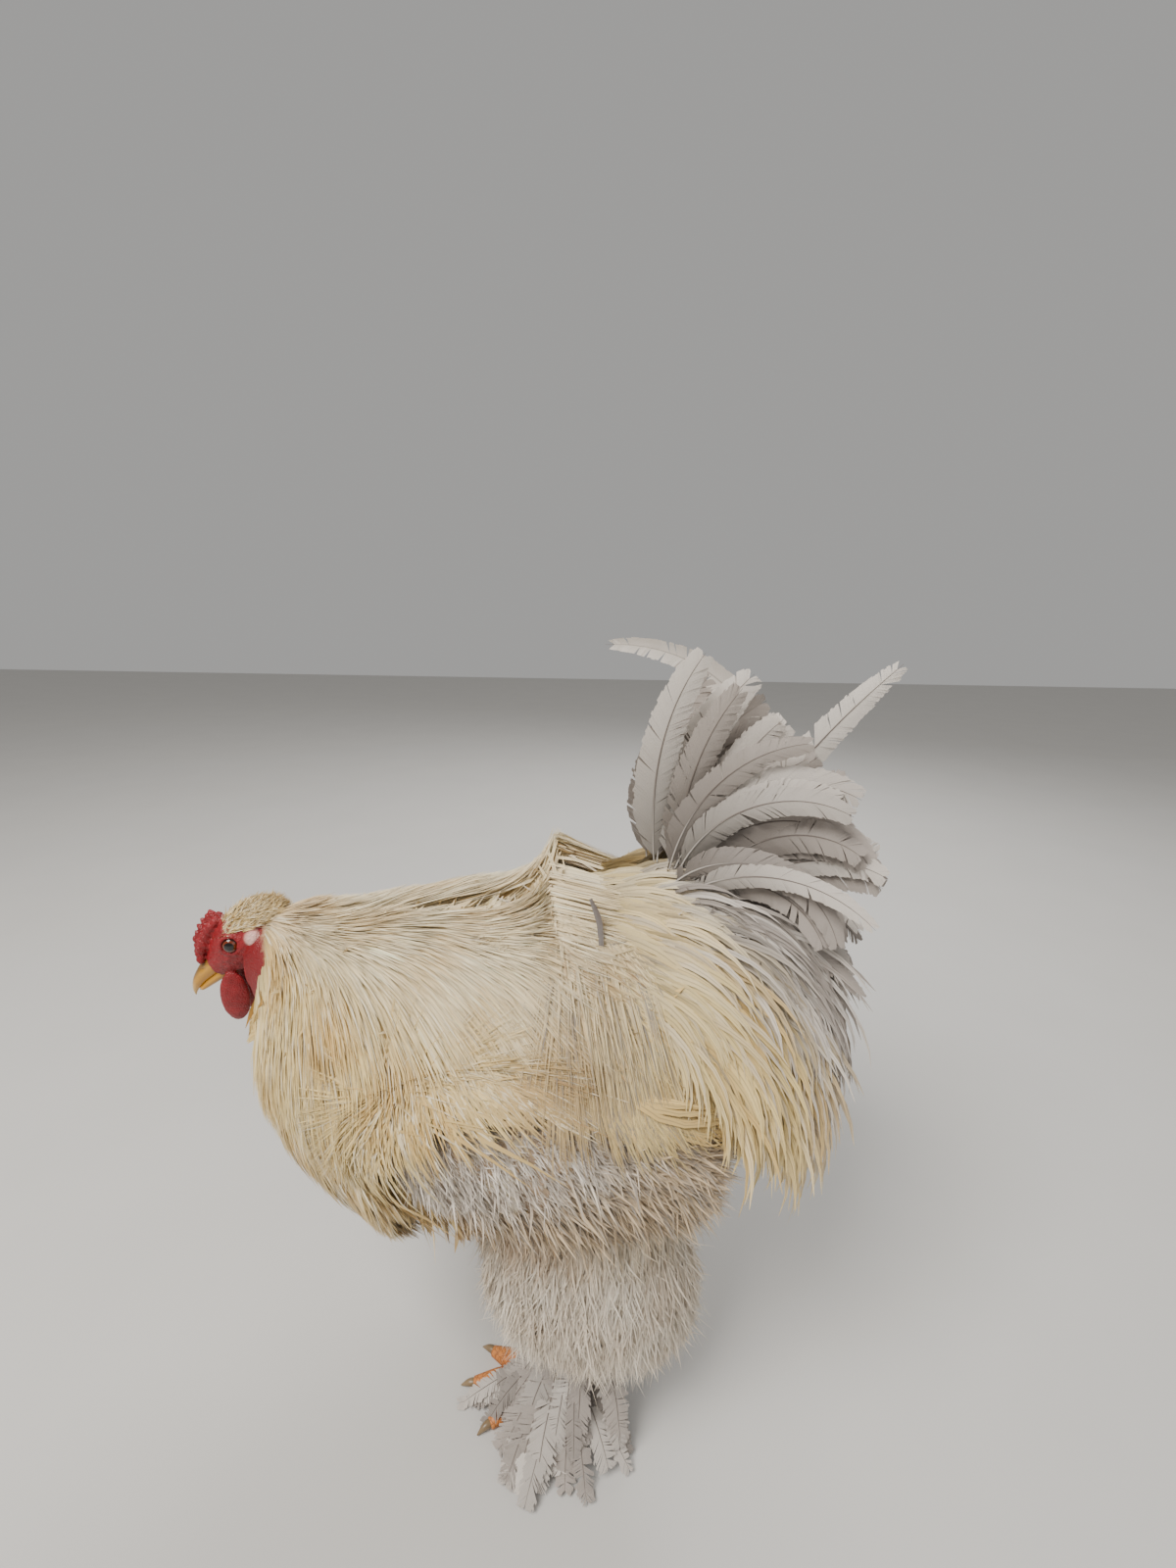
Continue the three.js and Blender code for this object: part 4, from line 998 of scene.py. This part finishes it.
def tail_coverts():
    """Narrow feathers that grow over the rump's end and arch back and down, straw in front, then lavender."""
    count, steps = 5600, 8
    t = between(count, 0.70, 0.99)
    angle = between(count, -2.0, 2.0) * smooth(t, 0.62, 0.8)
    roots = in_skin(t, angle, sunk=2)
    out = over_trunk(roots)[1]
    way = unit(np.array([0.75, 0.0, 0.1]) + 0.6 * out + 0.12 * ripple(roots, 14, 4.0)[:, None]
               + 0.05 * rng.standard_normal((count, 3)))
    places, outs = plumes(
        roots, rise=np.arctan2(way[:, 2], way[:, 0]) * mix(0.45, 1.0, smooth(t, 0.70, 0.88)),
        splay=np.abs(way[:, 1]) * 0.75, length=between(count, 66, 108),
        curl=1.75 + 0.5 * ripple(roots, 16, 7.0) + 0.1 * rng.standard_normal(count),
        droop=np.full(count, 0.3), steps=steps)
    warm = (1 - smooth(t, 0.77, 0.85))[:, None] * rng.uniform(0.2, 0.9, (count, 1))
    tint = mix(strayed(plumage(roots) * 0.95, 0.06, PALE, 0.35), STRAW, warm)
    feathers = ribbons(places, unit(outs + 0.8 * out[:, None]), between(count, 3.6, 7.2))
    colours = shaded(tint * 0.6, tint, smooth(np.linspace(0, 1, steps + 1), 0.0, 0.6), 2)
    add_coat("tail_coverts", feathers, colours, trunk_uv(t, angle), [], SADDLE)


def broken_quill():
    """A dark broken quill hangs at the saddle's front."""
    places = catmull(BROKEN_QUILL, np.linspace(0, 1, 12))[None]
    feathers = ribbons(places, np.broadcast_to([0, -0.8, 0.6], places.shape), np.array([4.5]))
    add_coat("broken_quill", feathers, np.broadcast_to(SHAFT * 1.6, feathers[0].shape),
             trunk_uv(np.array([0.7]), np.array([-0.7])), [], SADDLE)


# Wings

WING_ROWS, WING_PER_ROW = 13, 15


def on_wing(side, x, z, sunk):
    """Places on the wing's outer face from shares of its length and height, sunk a little."""
    y = np.sqrt(np.clip(1 - x**2 - z**2, 0, 1))
    return WINGS[side].world(np.stack([x, side * y, z], -1) * WINGS[side].half * sunk)


def over_blob(blob, roots, way, length, lift, steps=6):
    """Paths over a blob's surface at the height that lift gives for the share of the length."""
    place, way = roots, unit(way)
    out = blob.over(place)[1]
    places, outs = [place], [out]
    for step in range(1, steps + 1):
        way = unit(way - out * dot(way, out))
        place = place + way * (length / steps)[:, None]
        over, out = blob.over(place)
        place = place + out * (lift(step / steps) - over)[:, None]
        places.append(place)
        outs.append(out)
    return np.stack(places, 1), np.stack(outs, 1)


def wing_coat(name, side):
    """Broad feathers in rows from front to back, each row half a feather off the last, tips over roots."""
    blob = WINGS[side]
    row, place = np.divmod(np.arange(WING_ROWS * WING_PER_ROW), WING_PER_ROW)
    count = row.size
    x = mix(-0.93, 0.72, (row + 0.3 * rng.uniform(-1, 1, count)) / (WING_ROWS - 1))
    z = mix(0.8, -0.86, (place + 0.5 * (row % 2)) / (WING_PER_ROW - 0.5))
    z = z * np.sqrt(np.clip(1 - x**2, 0.05, 1))
    roots = on_wing(side, x, z, 0.97)
    way = np.stack([np.ones(count), 0 * x, -0.08 - 0.25 * z], -1) @ blob.turn.T
    length = mix(30, 52, (x + 1) / 2) * between(count, 0.9, 1.1)
    ruffled = 0.8 * ripple(roots, 5, 2.0)
    places, outs = over_blob(blob, roots, way, length, lambda share: mix(0.0, 6.0, share) + ruffled)
    tint = strayed(mix(FLANK, LAVENDER, 0.3) + 0 * roots, 0.06, CREAM, 0.25)
    uv = trunk_uv(*over_trunk(roots)[2:])
    broad_feathers(f"wing_coat_{name}", places, outs, between(count, 17, 22), uv, "cream", [f"wing_{name}"],
                   tint * 0.7, tint * 1.1, barbs=20, stations=3, thick=0.3, cup=0.08)


def wing_down(name, side):
    """Down over the whole wing: fluffy, white and grey in front, where the cape ends, and flat behind, in the
    flank's colour."""
    count = 3300
    x = between(count, -0.97, 0.93)
    z = between(count, -0.9, 0.8) * np.sqrt(1 - x**2)
    roots = on_wing(side, x, z, 0.98)
    out = WINGS[side].over(roots)[1]
    loose = 1 - smooth(x - 0.9 * z + 0.2 * ripple(roots, 12, 3.0), -0.4, 0.15)
    white = tinted(WING_WHITE, mix(GREY, FLANK, 0.4), np.clip(0.2 + 0.6 * ripple(roots, 13, 2.0), 0, 0.8))
    flat = strayed(mix(FLANK, CREAM, 0.3) + 0 * roots, 0.06, LAVENDER, 0.3)
    way = unit(np.array([0.9, 0.0, -0.3]) + (0.02 + 0.3 * loose)[:, None] * out)
    soft_tufts(f"wing_down_{name}", roots, way, out, length=mix(26, 17, loose) * between(count, 0.75, 1.25),
               width=mix(2.3, 1.4, loose) * between(count, 0.7, 1.3), fall=0.12, spread=0.3,
               uv=trunk_uv(*over_trunk(roots)[2:]), slot="cream", replaced=[],
               colour=tinted(flat, white, loose), per=5, dark=0.8)


# Closed surfaces

def rings_of(count, start=0.0):
    """Angles of a full turn without its end."""
    return np.linspace(start, start + 2 * np.pi, count, endpoint=False)


def closed_tube(rings):
    """Vertices and triangles of a closed surface through rings of equal counts, with a fan at each end."""
    rows, around = rings.shape[:2]
    here = np.arange(around)
    after = (here + 1) % around
    first = np.arange(rows - 1)[:, None] * around
    a, b = first + here, first + after
    last, low_middle, high_middle = (rows - 1) * around, rows * around, rows * around + 1
    faces = [np.stack([a, a + around, b + around], -1).reshape(-1, 3),
             np.stack([a, b + around, b], -1).reshape(-1, 3),
             np.stack([here, after, np.full(around, low_middle)], -1),
             np.stack([last + after, last + here, np.full(around, high_middle)], -1)]
    return np.vstack([rings.reshape(-1, 3), rings[0].mean(0), rings[-1].mean(0)]), np.vstack(faces)


def ball(centre, half, turn=None, rows=24, around=32):
    """A closed ellipsoid by rings of latitude."""
    lat = np.linspace(-np.pi / 2 + 0.05, np.pi / 2 - 0.05, rows)[:, None]
    lon = rings_of(around)[None]
    rings = np.stack([np.cos(lat) * np.cos(lon), np.cos(lat) * np.sin(lon), np.sin(lat) + 0 * lon], -1) * half
    if turn is not None:
        rings = rings @ np.array(turn).T
    return closed_tube(rings + np.asarray(centre))


def head_tube(sections, rows=40, around=40):
    """A smooth tube of ellipses through sections square to X."""
    x, z, tall, wide = catmull(sections, np.linspace(0, 1, rows)).T[:, :, None]
    a = rings_of(around)[None]
    return closed_tube(np.stack([x + 0 * a, wide * np.sin(a), z + tall * np.cos(a)], -1))


def round_tube(line, radii, rows=40, around=24):
    """A round tube along a curve through points, with radii along it."""
    s = np.linspace(0, 1, rows)
    places = catmull(line, s)
    r = catmull(np.asarray(radii, float)[:, None], s)[:, None]
    way = unit(np.gradient(places, axis=0))
    hint = np.where(np.abs(way[:, 2:]) > 0.9, [[1.0, 0, 0]], [[0, 0, 1.0]])
    side = unit(np.cross(way, hint))
    up = np.cross(side, way)
    a = rings_of(around)[None, :, None]
    return closed_tube(places[:, None] + r * (side[:, None] * np.cos(a) + up[:, None] * np.sin(a)))


def eyelid(centre, side, radius, thick, around=40, rows=14):
    """A ring round a Y axis through its centre: a circle of the thickness carried round one of the radius."""
    a, b = rings_of(around)[:, None], rings_of(rows)[None]
    r = radius + thick * np.cos(b)
    points = np.stack([r * np.cos(a), side * thick * np.sin(b) + 0 * a, r * np.sin(a)], -1) + centre
    here, after = np.arange(around)[:, None] * rows, (np.arange(around)[:, None] + 1) % around * rows
    low, high = np.arange(rows), (np.arange(rows) + 1) % rows
    faces = [np.stack([here + low, after + low, after + high], -1).reshape(-1, 3),
             np.stack([here + low, after + high, here + high], -1).reshape(-1, 3)]
    return points.reshape(-1, 3), np.vstack(faces)


def merged(surfaces):
    """Several surfaces as one list of vertices and faces."""
    starts = np.cumsum([0] + [len(points) for points, _ in surfaces])
    return (np.vstack([points for points, _ in surfaces]),
            np.vstack([faces + start for (_, faces), start in zip(surfaces, starts)]))


def fused(surfaces, voxel, rounds):
    """Surfaces fused to one by voxels of a size, then smoothed. Returns places in millimetres and quads."""
    points, faces = merged(surfaces)
    mesh = bpy.data.meshes.new("fuse")
    mesh.from_pydata((points * MM).tolist(), [], faces.tolist())
    thing = bpy.data.objects.new("fuse", mesh)
    bpy.context.scene.collection.objects.link(thing)
    remesh = thing.modifiers.new("fuse", "REMESH")
    remesh.mode = "VOXEL"
    remesh.voxel_size = voxel * MM
    thing.modifiers.new("soften", "SMOOTH").iterations = rounds
    done = thing.evaluated_get(bpy.context.evaluated_depsgraph_get()).to_mesh()
    places = np.empty(len(done.vertices) * 3, np.float32)
    done.vertices.foreach_get("co", places)
    quads = np.array([tuple(face.vertices) for face in done.polygons], np.int32)
    bpy.data.objects.remove(thing)
    return places.reshape(-1, 3).astype(float) / MM, quads


# The bare face, in the head's frame

HEAD_DOWN = DOWN @ HEAD_TURN
COMB_LINE = np.array([(-35, 0, 1), (-29, 0, 8), (-20, 0, 14), (-10, 0, 19), (-1, 0, 22)], float)
COMB_ROWS, COMB_KNOBS, COMB_ROW_GAP = (-1, 0, 1), 8, 5.2
# What hangs on each side: root, half sizes and lean of the wattle and of the red fold under the ear
HANGING = (((-22, 8.5, -23), (11, 3.4, 23), -0.1), ((12, 19.0, -15), (10.5, 3.0, 22), -0.12))
FACE_VOXEL, BODY_VOXEL = 0.9, 4.0


def comb():
    """A pea comb: rows of knobs along a line over the skull, highest in the middle of the middle row."""
    knobs = []
    for row in COMB_ROWS:
        for knob in range(COMB_KNOBS):
            share = (knob + 0.5) / COMB_KNOBS
            x, _, z = catmull(COMB_LINE, np.array(share))
            high = (4.4 if row else 7.5) * (0.75 + 0.5 * math.sin(math.pi * share)) * rng.uniform(0.85, 1.15)
            place = (x + rng.uniform(-0.5, 0.5), row * COMB_ROW_GAP + rng.uniform(-0.5, 0.5),
                     z + (-1.5 if row else 1))
            knobs.append(ball(place, (3.0, 3.1, high), rows=10, around=12))
    return knobs


def face_side(side):
    """One side's wattle, fold, ear lobe and eyelid."""
    hang = Vector((0, 0, -1)).rotation_difference(Vector(HEAD_DOWN)).to_matrix()
    parts = []
    for root, half, lean in HANGING:
        turn = Matrix.Rotation(side * lean, 3, "X") @ hang
        parts.append(ball(np.array(root) * [1, side, 1] + HEAD_DOWN * half[2] * 0.8, half, turn))
    parts.append(ball(EAR_LOBE_AT * [1, side, 1], EAR_LOBE_HALF))
    parts.append(eyelid(np.array([0, side * (EYE_BESIDE + 1.4), 0]), side, EYE_RADIUS + 1.0, 1.7))
    return parts


def face():
    """Skull, comb and both sides fused and pebbled, with a hollow for each eye: places, quads and colours."""
    points, quads = fused([head_tube(SKULL), *comb(), *face_side(-1), *face_side(1)], FACE_VOXEL, 3)
    out = unit(points - np.array([0, 0, -4]))
    points = points + out * (0.35 * ripple(points, 3.2, 4.0) + 0.3 * ripple(points, 1.5, 9.0))[:, None]
    white = np.zeros(len(points))
    for _, side in SIDES:
        from_eye = (points - np.array([0, side * EYE_BESIDE, 0])) / (EYE_RADIUS * np.array([1, 0.8, 1]))
        sunk = (np.linalg.norm(from_eye, axis=1) < 1.0) & (points[:, 1] * side > EYE_BESIDE)
        points[sunk, 1] = side * (EYE_BESIDE - 0.5)
    for _, side in SIDES:
        from_lobe = np.linalg.norm((points - EAR_LOBE_AT * [1, side, 1]) / np.array([8.2, 8, 8.6]), axis=1)
        white = np.maximum(white, 1 - smooth(from_lobe, 0.65, 1.05))
    rosy = np.clip(0.25 + 0.35 * ripple(points, 5, 2.0) + smooth(points[:, 0], -12, 14) * 0.25, 0, 1)
    return from_head(points), quads, tinted(tinted(RED, ROSE, rosy), LOBE_WHITE, white)


# The skin

def body():
    """Trunk, thighs and wing pads under their coats, fused: places, quads and colours."""
    t, angle = np.meshgrid(np.linspace(0.0, 1.0, 90), rings_of(72, -np.pi), indexing="ij")
    parts = [closed_tube(in_skin(t, angle, sunk=0))]
    for _, side in SIDES:
        z, around = np.meshgrid(np.linspace(250, 86, 30), rings_of(40), indexing="ij")
        parts.append(closed_tube(thigh_point(side, z, around, -THIGH_DEPTH)))
        parts.append(ball(WINGS[side].centre, WINGS[side].half - 4, WINGS[side].turn))
    points, quads = fused(parts, BODY_VOXEL, 4)
    x, _, z = to_head(points).T
    bare = smooth(30 + 0.2 * z - x, 0, 4) * smooth(z, -64, -56) * smooth(-z, -6, 0)
    return points, quads, tinted(plumage(points) * 0.7, RED * 0.9, bare)


def skin_uv(points, quads, body_quads):
    """The skin's unwrap, corner by corner: trunk by t and angle, thighs by height and angle, head by its own
    X and the angle round it. In a face, angles are counted on from its first corner, so none wraps back."""
    middle = points[quads].mean(1)
    on_head = np.arange(len(quads)) >= body_quads
    on_thigh = (middle[:, 2] < 225) & (np.abs(middle[:, 0] - 8) < 95) & (over_trunk(middle)[0] > -16)
    field = np.select([on_head, on_thigh & (middle[:, 1] < 0), on_thigh], [1, 2, 3], 0)
    corner = points[quads.ravel()]
    t, angle = over_trunk(corner)[2:]
    local = to_head(corner)
    head_angle = np.arctan2(local[:, 1], local[:, 2] + 8)
    x, y, _, _ = thigh_row(corner[:, 2])
    thigh_angle = np.arctan2(corner[:, 1] - np.where(corner[:, 1] < 0, -y, y), corner[:, 0] - x)
    field = np.repeat(field, quads.shape[1])
    around = np.select([field == 1, field >= 2], [head_angle, thigh_angle], angle).reshape(quads.shape)
    around = around[:, :1] + (around - around[:, :1] + np.pi) % (2 * np.pi) - np.pi
    around = around.ravel()
    uv = np.stack([trunk_uv(t, around), head_uv(local[:, 0], around), thigh_uv("left", corner[:, 2], around),
                   thigh_uv("right", corner[:, 2], around)])
    return uv[field, np.arange(len(field))]


def skin():
    """One mesh for all the flesh, head included."""
    face_points, face_quads, face_tint = face()
    body_points, body_quads, body_tint = body()
    points, quads = merged([(body_points, body_quads), (face_points, face_quads)])
    add_piece("skin", (points, quads), BARE,
              ["head", "comb", "wattle_left", "wattle_right", "earlobe_left", "earlobe_right", "torso"],
              np.vstack([body_tint, face_tint]), {"OFBake": skin_uv(points, quads, len(body_quads))})


# Beak and eyes

UPPER_BEAK = np.array([
    (-25, -8, 9.5, 8.5), (-33, -8.5, 8.2, 7.4), (-42, -10, 6.6, 5.8), (-51, -13, 4.6, 3.9),
    (-57, -17, 2.6, 2.0), (-59.5, -20.5, 0.9, 0.7)], float)
LOWER_BEAK = np.array([
    (-22, -19, 5.6, 7.3), (-32, -18.2, 4.6, 6.2), (-42, -18.6, 3.6, 4.8), (-51, -19.4, 2.2, 3.0),
    (-53.5, -19.4, 0.9, 1.4)], float)
NOSTRIL_AT, NOSTRIL_HALF, NOSTRIL_DEEP = np.array([-37, 6.4, -6]), np.array([3.6, 2.2, 1.4]), 1.7


def beak(name, sections):
    """A half of the beak: a tube with a dark ridge and a pale tip. The upper half has a nostril on each side,
    a dent whose depth is one less the squared distance from its middle, in its half sizes."""
    points, faces = head_tube(sections, 30, 32)
    if name == "beak_upper":
        for _, side in SIDES:
            off = (points - NOSTRIL_AT * [1, side, 1]) / NOSTRIL_HALF
            points[:, 1] -= side * NOSTRIL_DEEP * np.clip(1 - np.sum(off**2, axis=1), 0, 1)
    dark = smooth(points[:, 2] - np.interp(points[:, 0], sections[::-1, 0], sections[::-1, 1]), 1.5, 5.5)
    tip = smooth(-points[:, 0], 48, 60)
    colours = tinted(tinted(HORN, HORN_DARK, dark * 0.75), HORN_TIP, tip * 0.7)
    add_piece(f"{name}_horn", (from_head(points), faces), BEAK, [name], colours)


def eyeball(name, side):
    """A dark pupil in an orange brown iris with a dark rim."""
    points, faces = ball((0, side * EYE_BESIDE, 0), EYE_RADIUS * np.array([1, 0.8, 1]), rows=64, around=80)
    r = np.hypot(points[:, 0], points[:, 2]) / EYE_RADIUS
    iris = tinted(IRIS_EDGE, IRIS, smooth(r, 0.52, 0.62) * (1 - smooth(r, 0.7, 0.86)))
    colours = np.where((r < 0.54)[:, None], PUPIL, iris)
    add_piece(f"eyeball_{name}", (from_head(points), faces), EYE, [f"eye_{name}"], colours)


# Feet

FOOT_X, LEG_SPREAD, SOLE_FLAT = -26.0, 74.0, 2.0
SHANK_TOP, SHANK_FOOT, SHANK_RADIUS = np.array([20, 84, 130.0]), np.array([FOOT_X, LEG_SPREAD, 12.0]), 11.0
# Toes: aim, length and radius. Pads: share of the length and fatness.
TOES = {"inner": (0.42, 52, 8.0), "middle": (-0.04, 60, 8.5), "outer": (-0.6, 52, 8.0),
        "hind": (math.pi - 0.3, 32, 7.0)}
PADS = ((0, 1.05), (0.3, 0.92), (0.62, 1), (1, 0.5))


def foot(name, side):
    """Toes with pads, claws, and the shank above them."""
    root = SHANK_FOOT * [1, side, 0]
    tubes = []
    for toe, (aim, length, radius) in TOES.items():
        way = np.array([-math.cos(aim), -side * math.sin(aim), 0])
        line = [root + way * share * length - DOWN * (radius - SOLE_FLAT + (fat - 1) * 4)
                for share, fat in PADS]
        tubes.append(round_tube(line, [radius * fat for _, fat in PADS]))
        start = root - DOWN * 4.6 + way * (length - 3)
        middle, tip = start + way * 7 - DOWN * 0.4, start + way * 14 + DOWN * 2.6
        claw = round_tube([start, middle, tip], [3.2, 2.7, 0.5], 16, 14)
        add_piece(f"nail_{toe}_{name}", claw, NAIL, [f"claw_{toe}_{name}"])
    top, low = SHANK_TOP * [1, side, 1], SHANK_FOOT * [1, side, 1]
    tubes.append(round_tube([top, mix(top, low, 0.5), low], [SHANK_RADIUS] * 3))
    add_piece(f"foot_skin_{name}", merged(tubes), SCALY, [f"foot_{name}"])


def foot_feathers(name, side):
    """Rows of broad feathers down the shank's outer side that bend down to the floor and spread over it."""
    count, steps = 44, 14
    high = between(count, 22, 96)
    aim = mix(-1.35, 0.8, rng.uniform(0, 1, count) ** 1.2)
    leg = (high - SHANK_FOOT[2]) / (SHANK_TOP[2] - SHANK_FOOT[2])
    root = mix(SHANK_FOOT * [1, side, 1], SHANK_TOP * [1, side, 1], leg[:, None])
    way = unit(np.stack([np.sin(aim), side * np.cos(aim), 0.1 + 0 * aim], -1))
    length = (78 + 0.25 * high) * between(count, 0.75, 1.05)
    places = [root]
    for _ in range(steps):
        way = unit(way + DOWN * (high / 420)[:, None] + 0.03 * rng.standard_normal((count, 3)))
        place = places[-1] + way * (length / steps)[:, None]
        level = 2.2 + 0.1 * high * rng.uniform(0.3, 1.0)
        under = place[:, 2] < level
        place[under, 2] = level[under]
        way[under, 2] = 0.0
        places.append(place)
    places = np.stack(places, 1)
    outs = np.broadcast_to(unit(np.array([0, side * 0.3, 1])), places.shape)
    tint = strayed(np.broadcast_to(LAVENDER, root.shape), 0.1, PALE, 0.35)
    uv = field_uv(f"thigh_{name}", between(count, 0.1, 0.9), 0.02 + 0 * high)
    broad_feathers(f"foot_feathers_{name}", places, outs, between(count, 13, 24), uv, "lavender",
                   [f"shank_{name}"], tint * 0.7, tint * 1.05, barbs=44, split=0.24, ragged=0.1, thick=0.5)


def shank_down(name, side):
    """Small feathers all round the shank."""
    count = 700
    leg = between(count, 0.05, 1.0)
    angle = between(count, -np.pi, np.pi)
    out = np.stack([np.cos(angle), np.sin(angle), 0 * angle], -1)
    roots = mix(SHANK_FOOT * [1, side, 1], SHANK_TOP * [1, side, 1], leg[:, None]) + out * SHANK_RADIUS * 0.95
    soft_tufts(f"shank_down_{name}", roots, DOWN * 0.9 + out * 0.45, out, length=between(count, 14, 24),
               width=between(count, 1.6, 2.8), fall=0.1, spread=0.2,
               uv=field_uv(f"thigh_{name}", turn_share(angle), 0.03 + 0 * angle), slot="lavender",
               replaced=[], colour=strayed(plumage(roots), 0.06, DOWNY, 0.4), steps=4)


def crown():
    """Small feathers on the head, from the comb's end back over the skull, off the ear lobes."""
    count = 5600
    x = between(count, -13, 34)
    angle = between(count, -np.pi, np.pi)
    z, tall, wide = (np.interp(x, SKULL[::-1, 0], SKULL[::-1, k]) for k in (1, 2, 3))
    local = np.stack([x, wide * np.sin(angle), z + tall * np.cos(angle)], -1)
    front = -12 + 26 * smooth(-np.cos(angle), -0.75, -0.35) + 1.5 * np.sin(7 * angle)
    from_lobe = (local - EAR_LOBE_AT) * [1, 0, 1]
    keep = (x > front) & (np.linalg.norm(from_lobe, axis=1) > 8.5)
    local, angle, x = local[keep], angle[keep], x[keep]
    out = unit(np.stack([0.2 + 0 * angle, np.sin(angle), np.cos(angle)], -1)) @ HEAD_TURN.T
    roots = from_head(local)
    colour = strayed(mix(plumage(roots), STRAW, 0.6), 0.05, CREAM, 0.4)
    soft_tufts("crown", roots, np.array([1.0, 0.0, 0.0]) @ HEAD_TURN.T + 0.05 * out, out,
               length=between(len(x), 9, 15), width=between(len(x), 0.8, 1.4), fall=0.0, spread=0.07,
               uv=head_uv(x, angle), slot="straw", replaced=[], colour=colour, per=3, dark=0.85)


# The bird, piece by piece. The order of the random draws is this order.

neck_hackles()
back_feathers()
saddle()
ridge()
saddle_tips()
undercoat()
belly()
tail_base()
for name, side in SIDES:
    thigh_coat(name, side)
for number, tier in enumerate(TAIL_TIERS, start=1):
    tail_tier(number, *tier)
tail_strays()
tail_coverts()
broken_quill()
for name, side in SIDES:
    wing_coat(name, side)
    wing_down(name, side)
skin()
beak("beak_upper", UPPER_BEAK)
beak("beak_lower", LOWER_BEAK)
for name, side in SIDES:
    eyeball(name, side)
for name, side in SIDES:
    foot(name, side)
    foot_feathers(name, side)
    shank_down(name, side)
crown()


# Floor, light and camera

FLOOR_REACH, FLOOR_PALE, FLOOR_SHADE = 6.0, (0.60, 0.585, 0.56), (0.56, 0.545, 0.52)
CAMERA_AT, CAMERA_PITCH, CAMERA_ROLL = (0.0, -450.0, 620.0), math.radians(15), math.radians(0.95)
FOCAL_PX, PHOTO_TALL_PX, SENSOR = 640.0, 1600.0, 36.0


def linked(name, data):
    """An object of its own in the scene."""
    thing = bpy.data.objects.new(name, data)
    bpy.context.scene.collection.objects.link(thing)
    return thing


def floor():
    """A wide plain square."""
    mesh = bpy.data.meshes.new("floor")
    corners = [(x * FLOOR_REACH, y * FLOOR_REACH, 0) for x, y in ((-1, -1), (1, -1), (1, 1), (-1, 1))]
    mesh.from_pydata(corners, [], [(0, 1, 2, 3)])
    mesh.materials.append(clouded_finish("floor", 0.8, FLOOR_PALE, FLOOR_SHADE, 6.0))
    linked("floor", mesh)


def sky():
    """An even pale light from all round."""
    world = bpy.data.worlds.new("studio")
    world.use_nodes = True
    background = world.node_tree.nodes["Background"]
    background.inputs["Color"].default_value = (0.92, 0.91, 0.89, 1)
    background.inputs["Strength"].default_value = 0.42
    bpy.context.scene.world = world


def lamp(name, place, size, power, colour):
    """A square lamp that faces the bird."""
    light = bpy.data.lights.new(name, "AREA")
    light.size, light.energy, light.color = size, power, colour
    thing = linked(name, light)
    thing.location = place
    thing.rotation_euler = (Vector((0, 0, 0.3)) - Vector(place)).to_track_quat("-Z", "Y").to_euler()


def camera():
    """The photo's camera: a wide lens close beside the bird, pitched down and rolled a little."""
    data = bpy.data.cameras.new("camera")
    data.sensor_width = SENSOR
    data.lens = FOCAL_PX / PHOTO_TALL_PX * SENSOR
    data.clip_start = 0.01
    right = Vector((1, 0, 0))
    up = Vector((0, math.sin(CAMERA_PITCH), math.cos(CAMERA_PITCH)))
    rolled_right = right * math.cos(CAMERA_ROLL) + up * math.sin(CAMERA_ROLL)
    rolled_up = up * math.cos(CAMERA_ROLL) - right * math.sin(CAMERA_ROLL)
    turn = Matrix((rolled_right, rolled_up, rolled_right.cross(rolled_up))).transposed()
    thing = linked("camera", data)
    thing.matrix_world = Matrix.Translation(Vector(to_row(CAMERA_AT))) @ turn.to_4x4()
    bpy.context.scene.camera = thing


floor()
sky()
lamp("key", (-0.9, -1.1, 2.3), size=1.1, power=82, colour=(1, 0.97, 0.92))
lamp("fill", (1.8, -1.6, 1.2), size=1.8, power=9, colour=(0.97, 0.98, 1))
lamp("rim", (0.6, 1.6, 1.9), size=1.2, power=30, colour=(1, 1, 1))
camera()
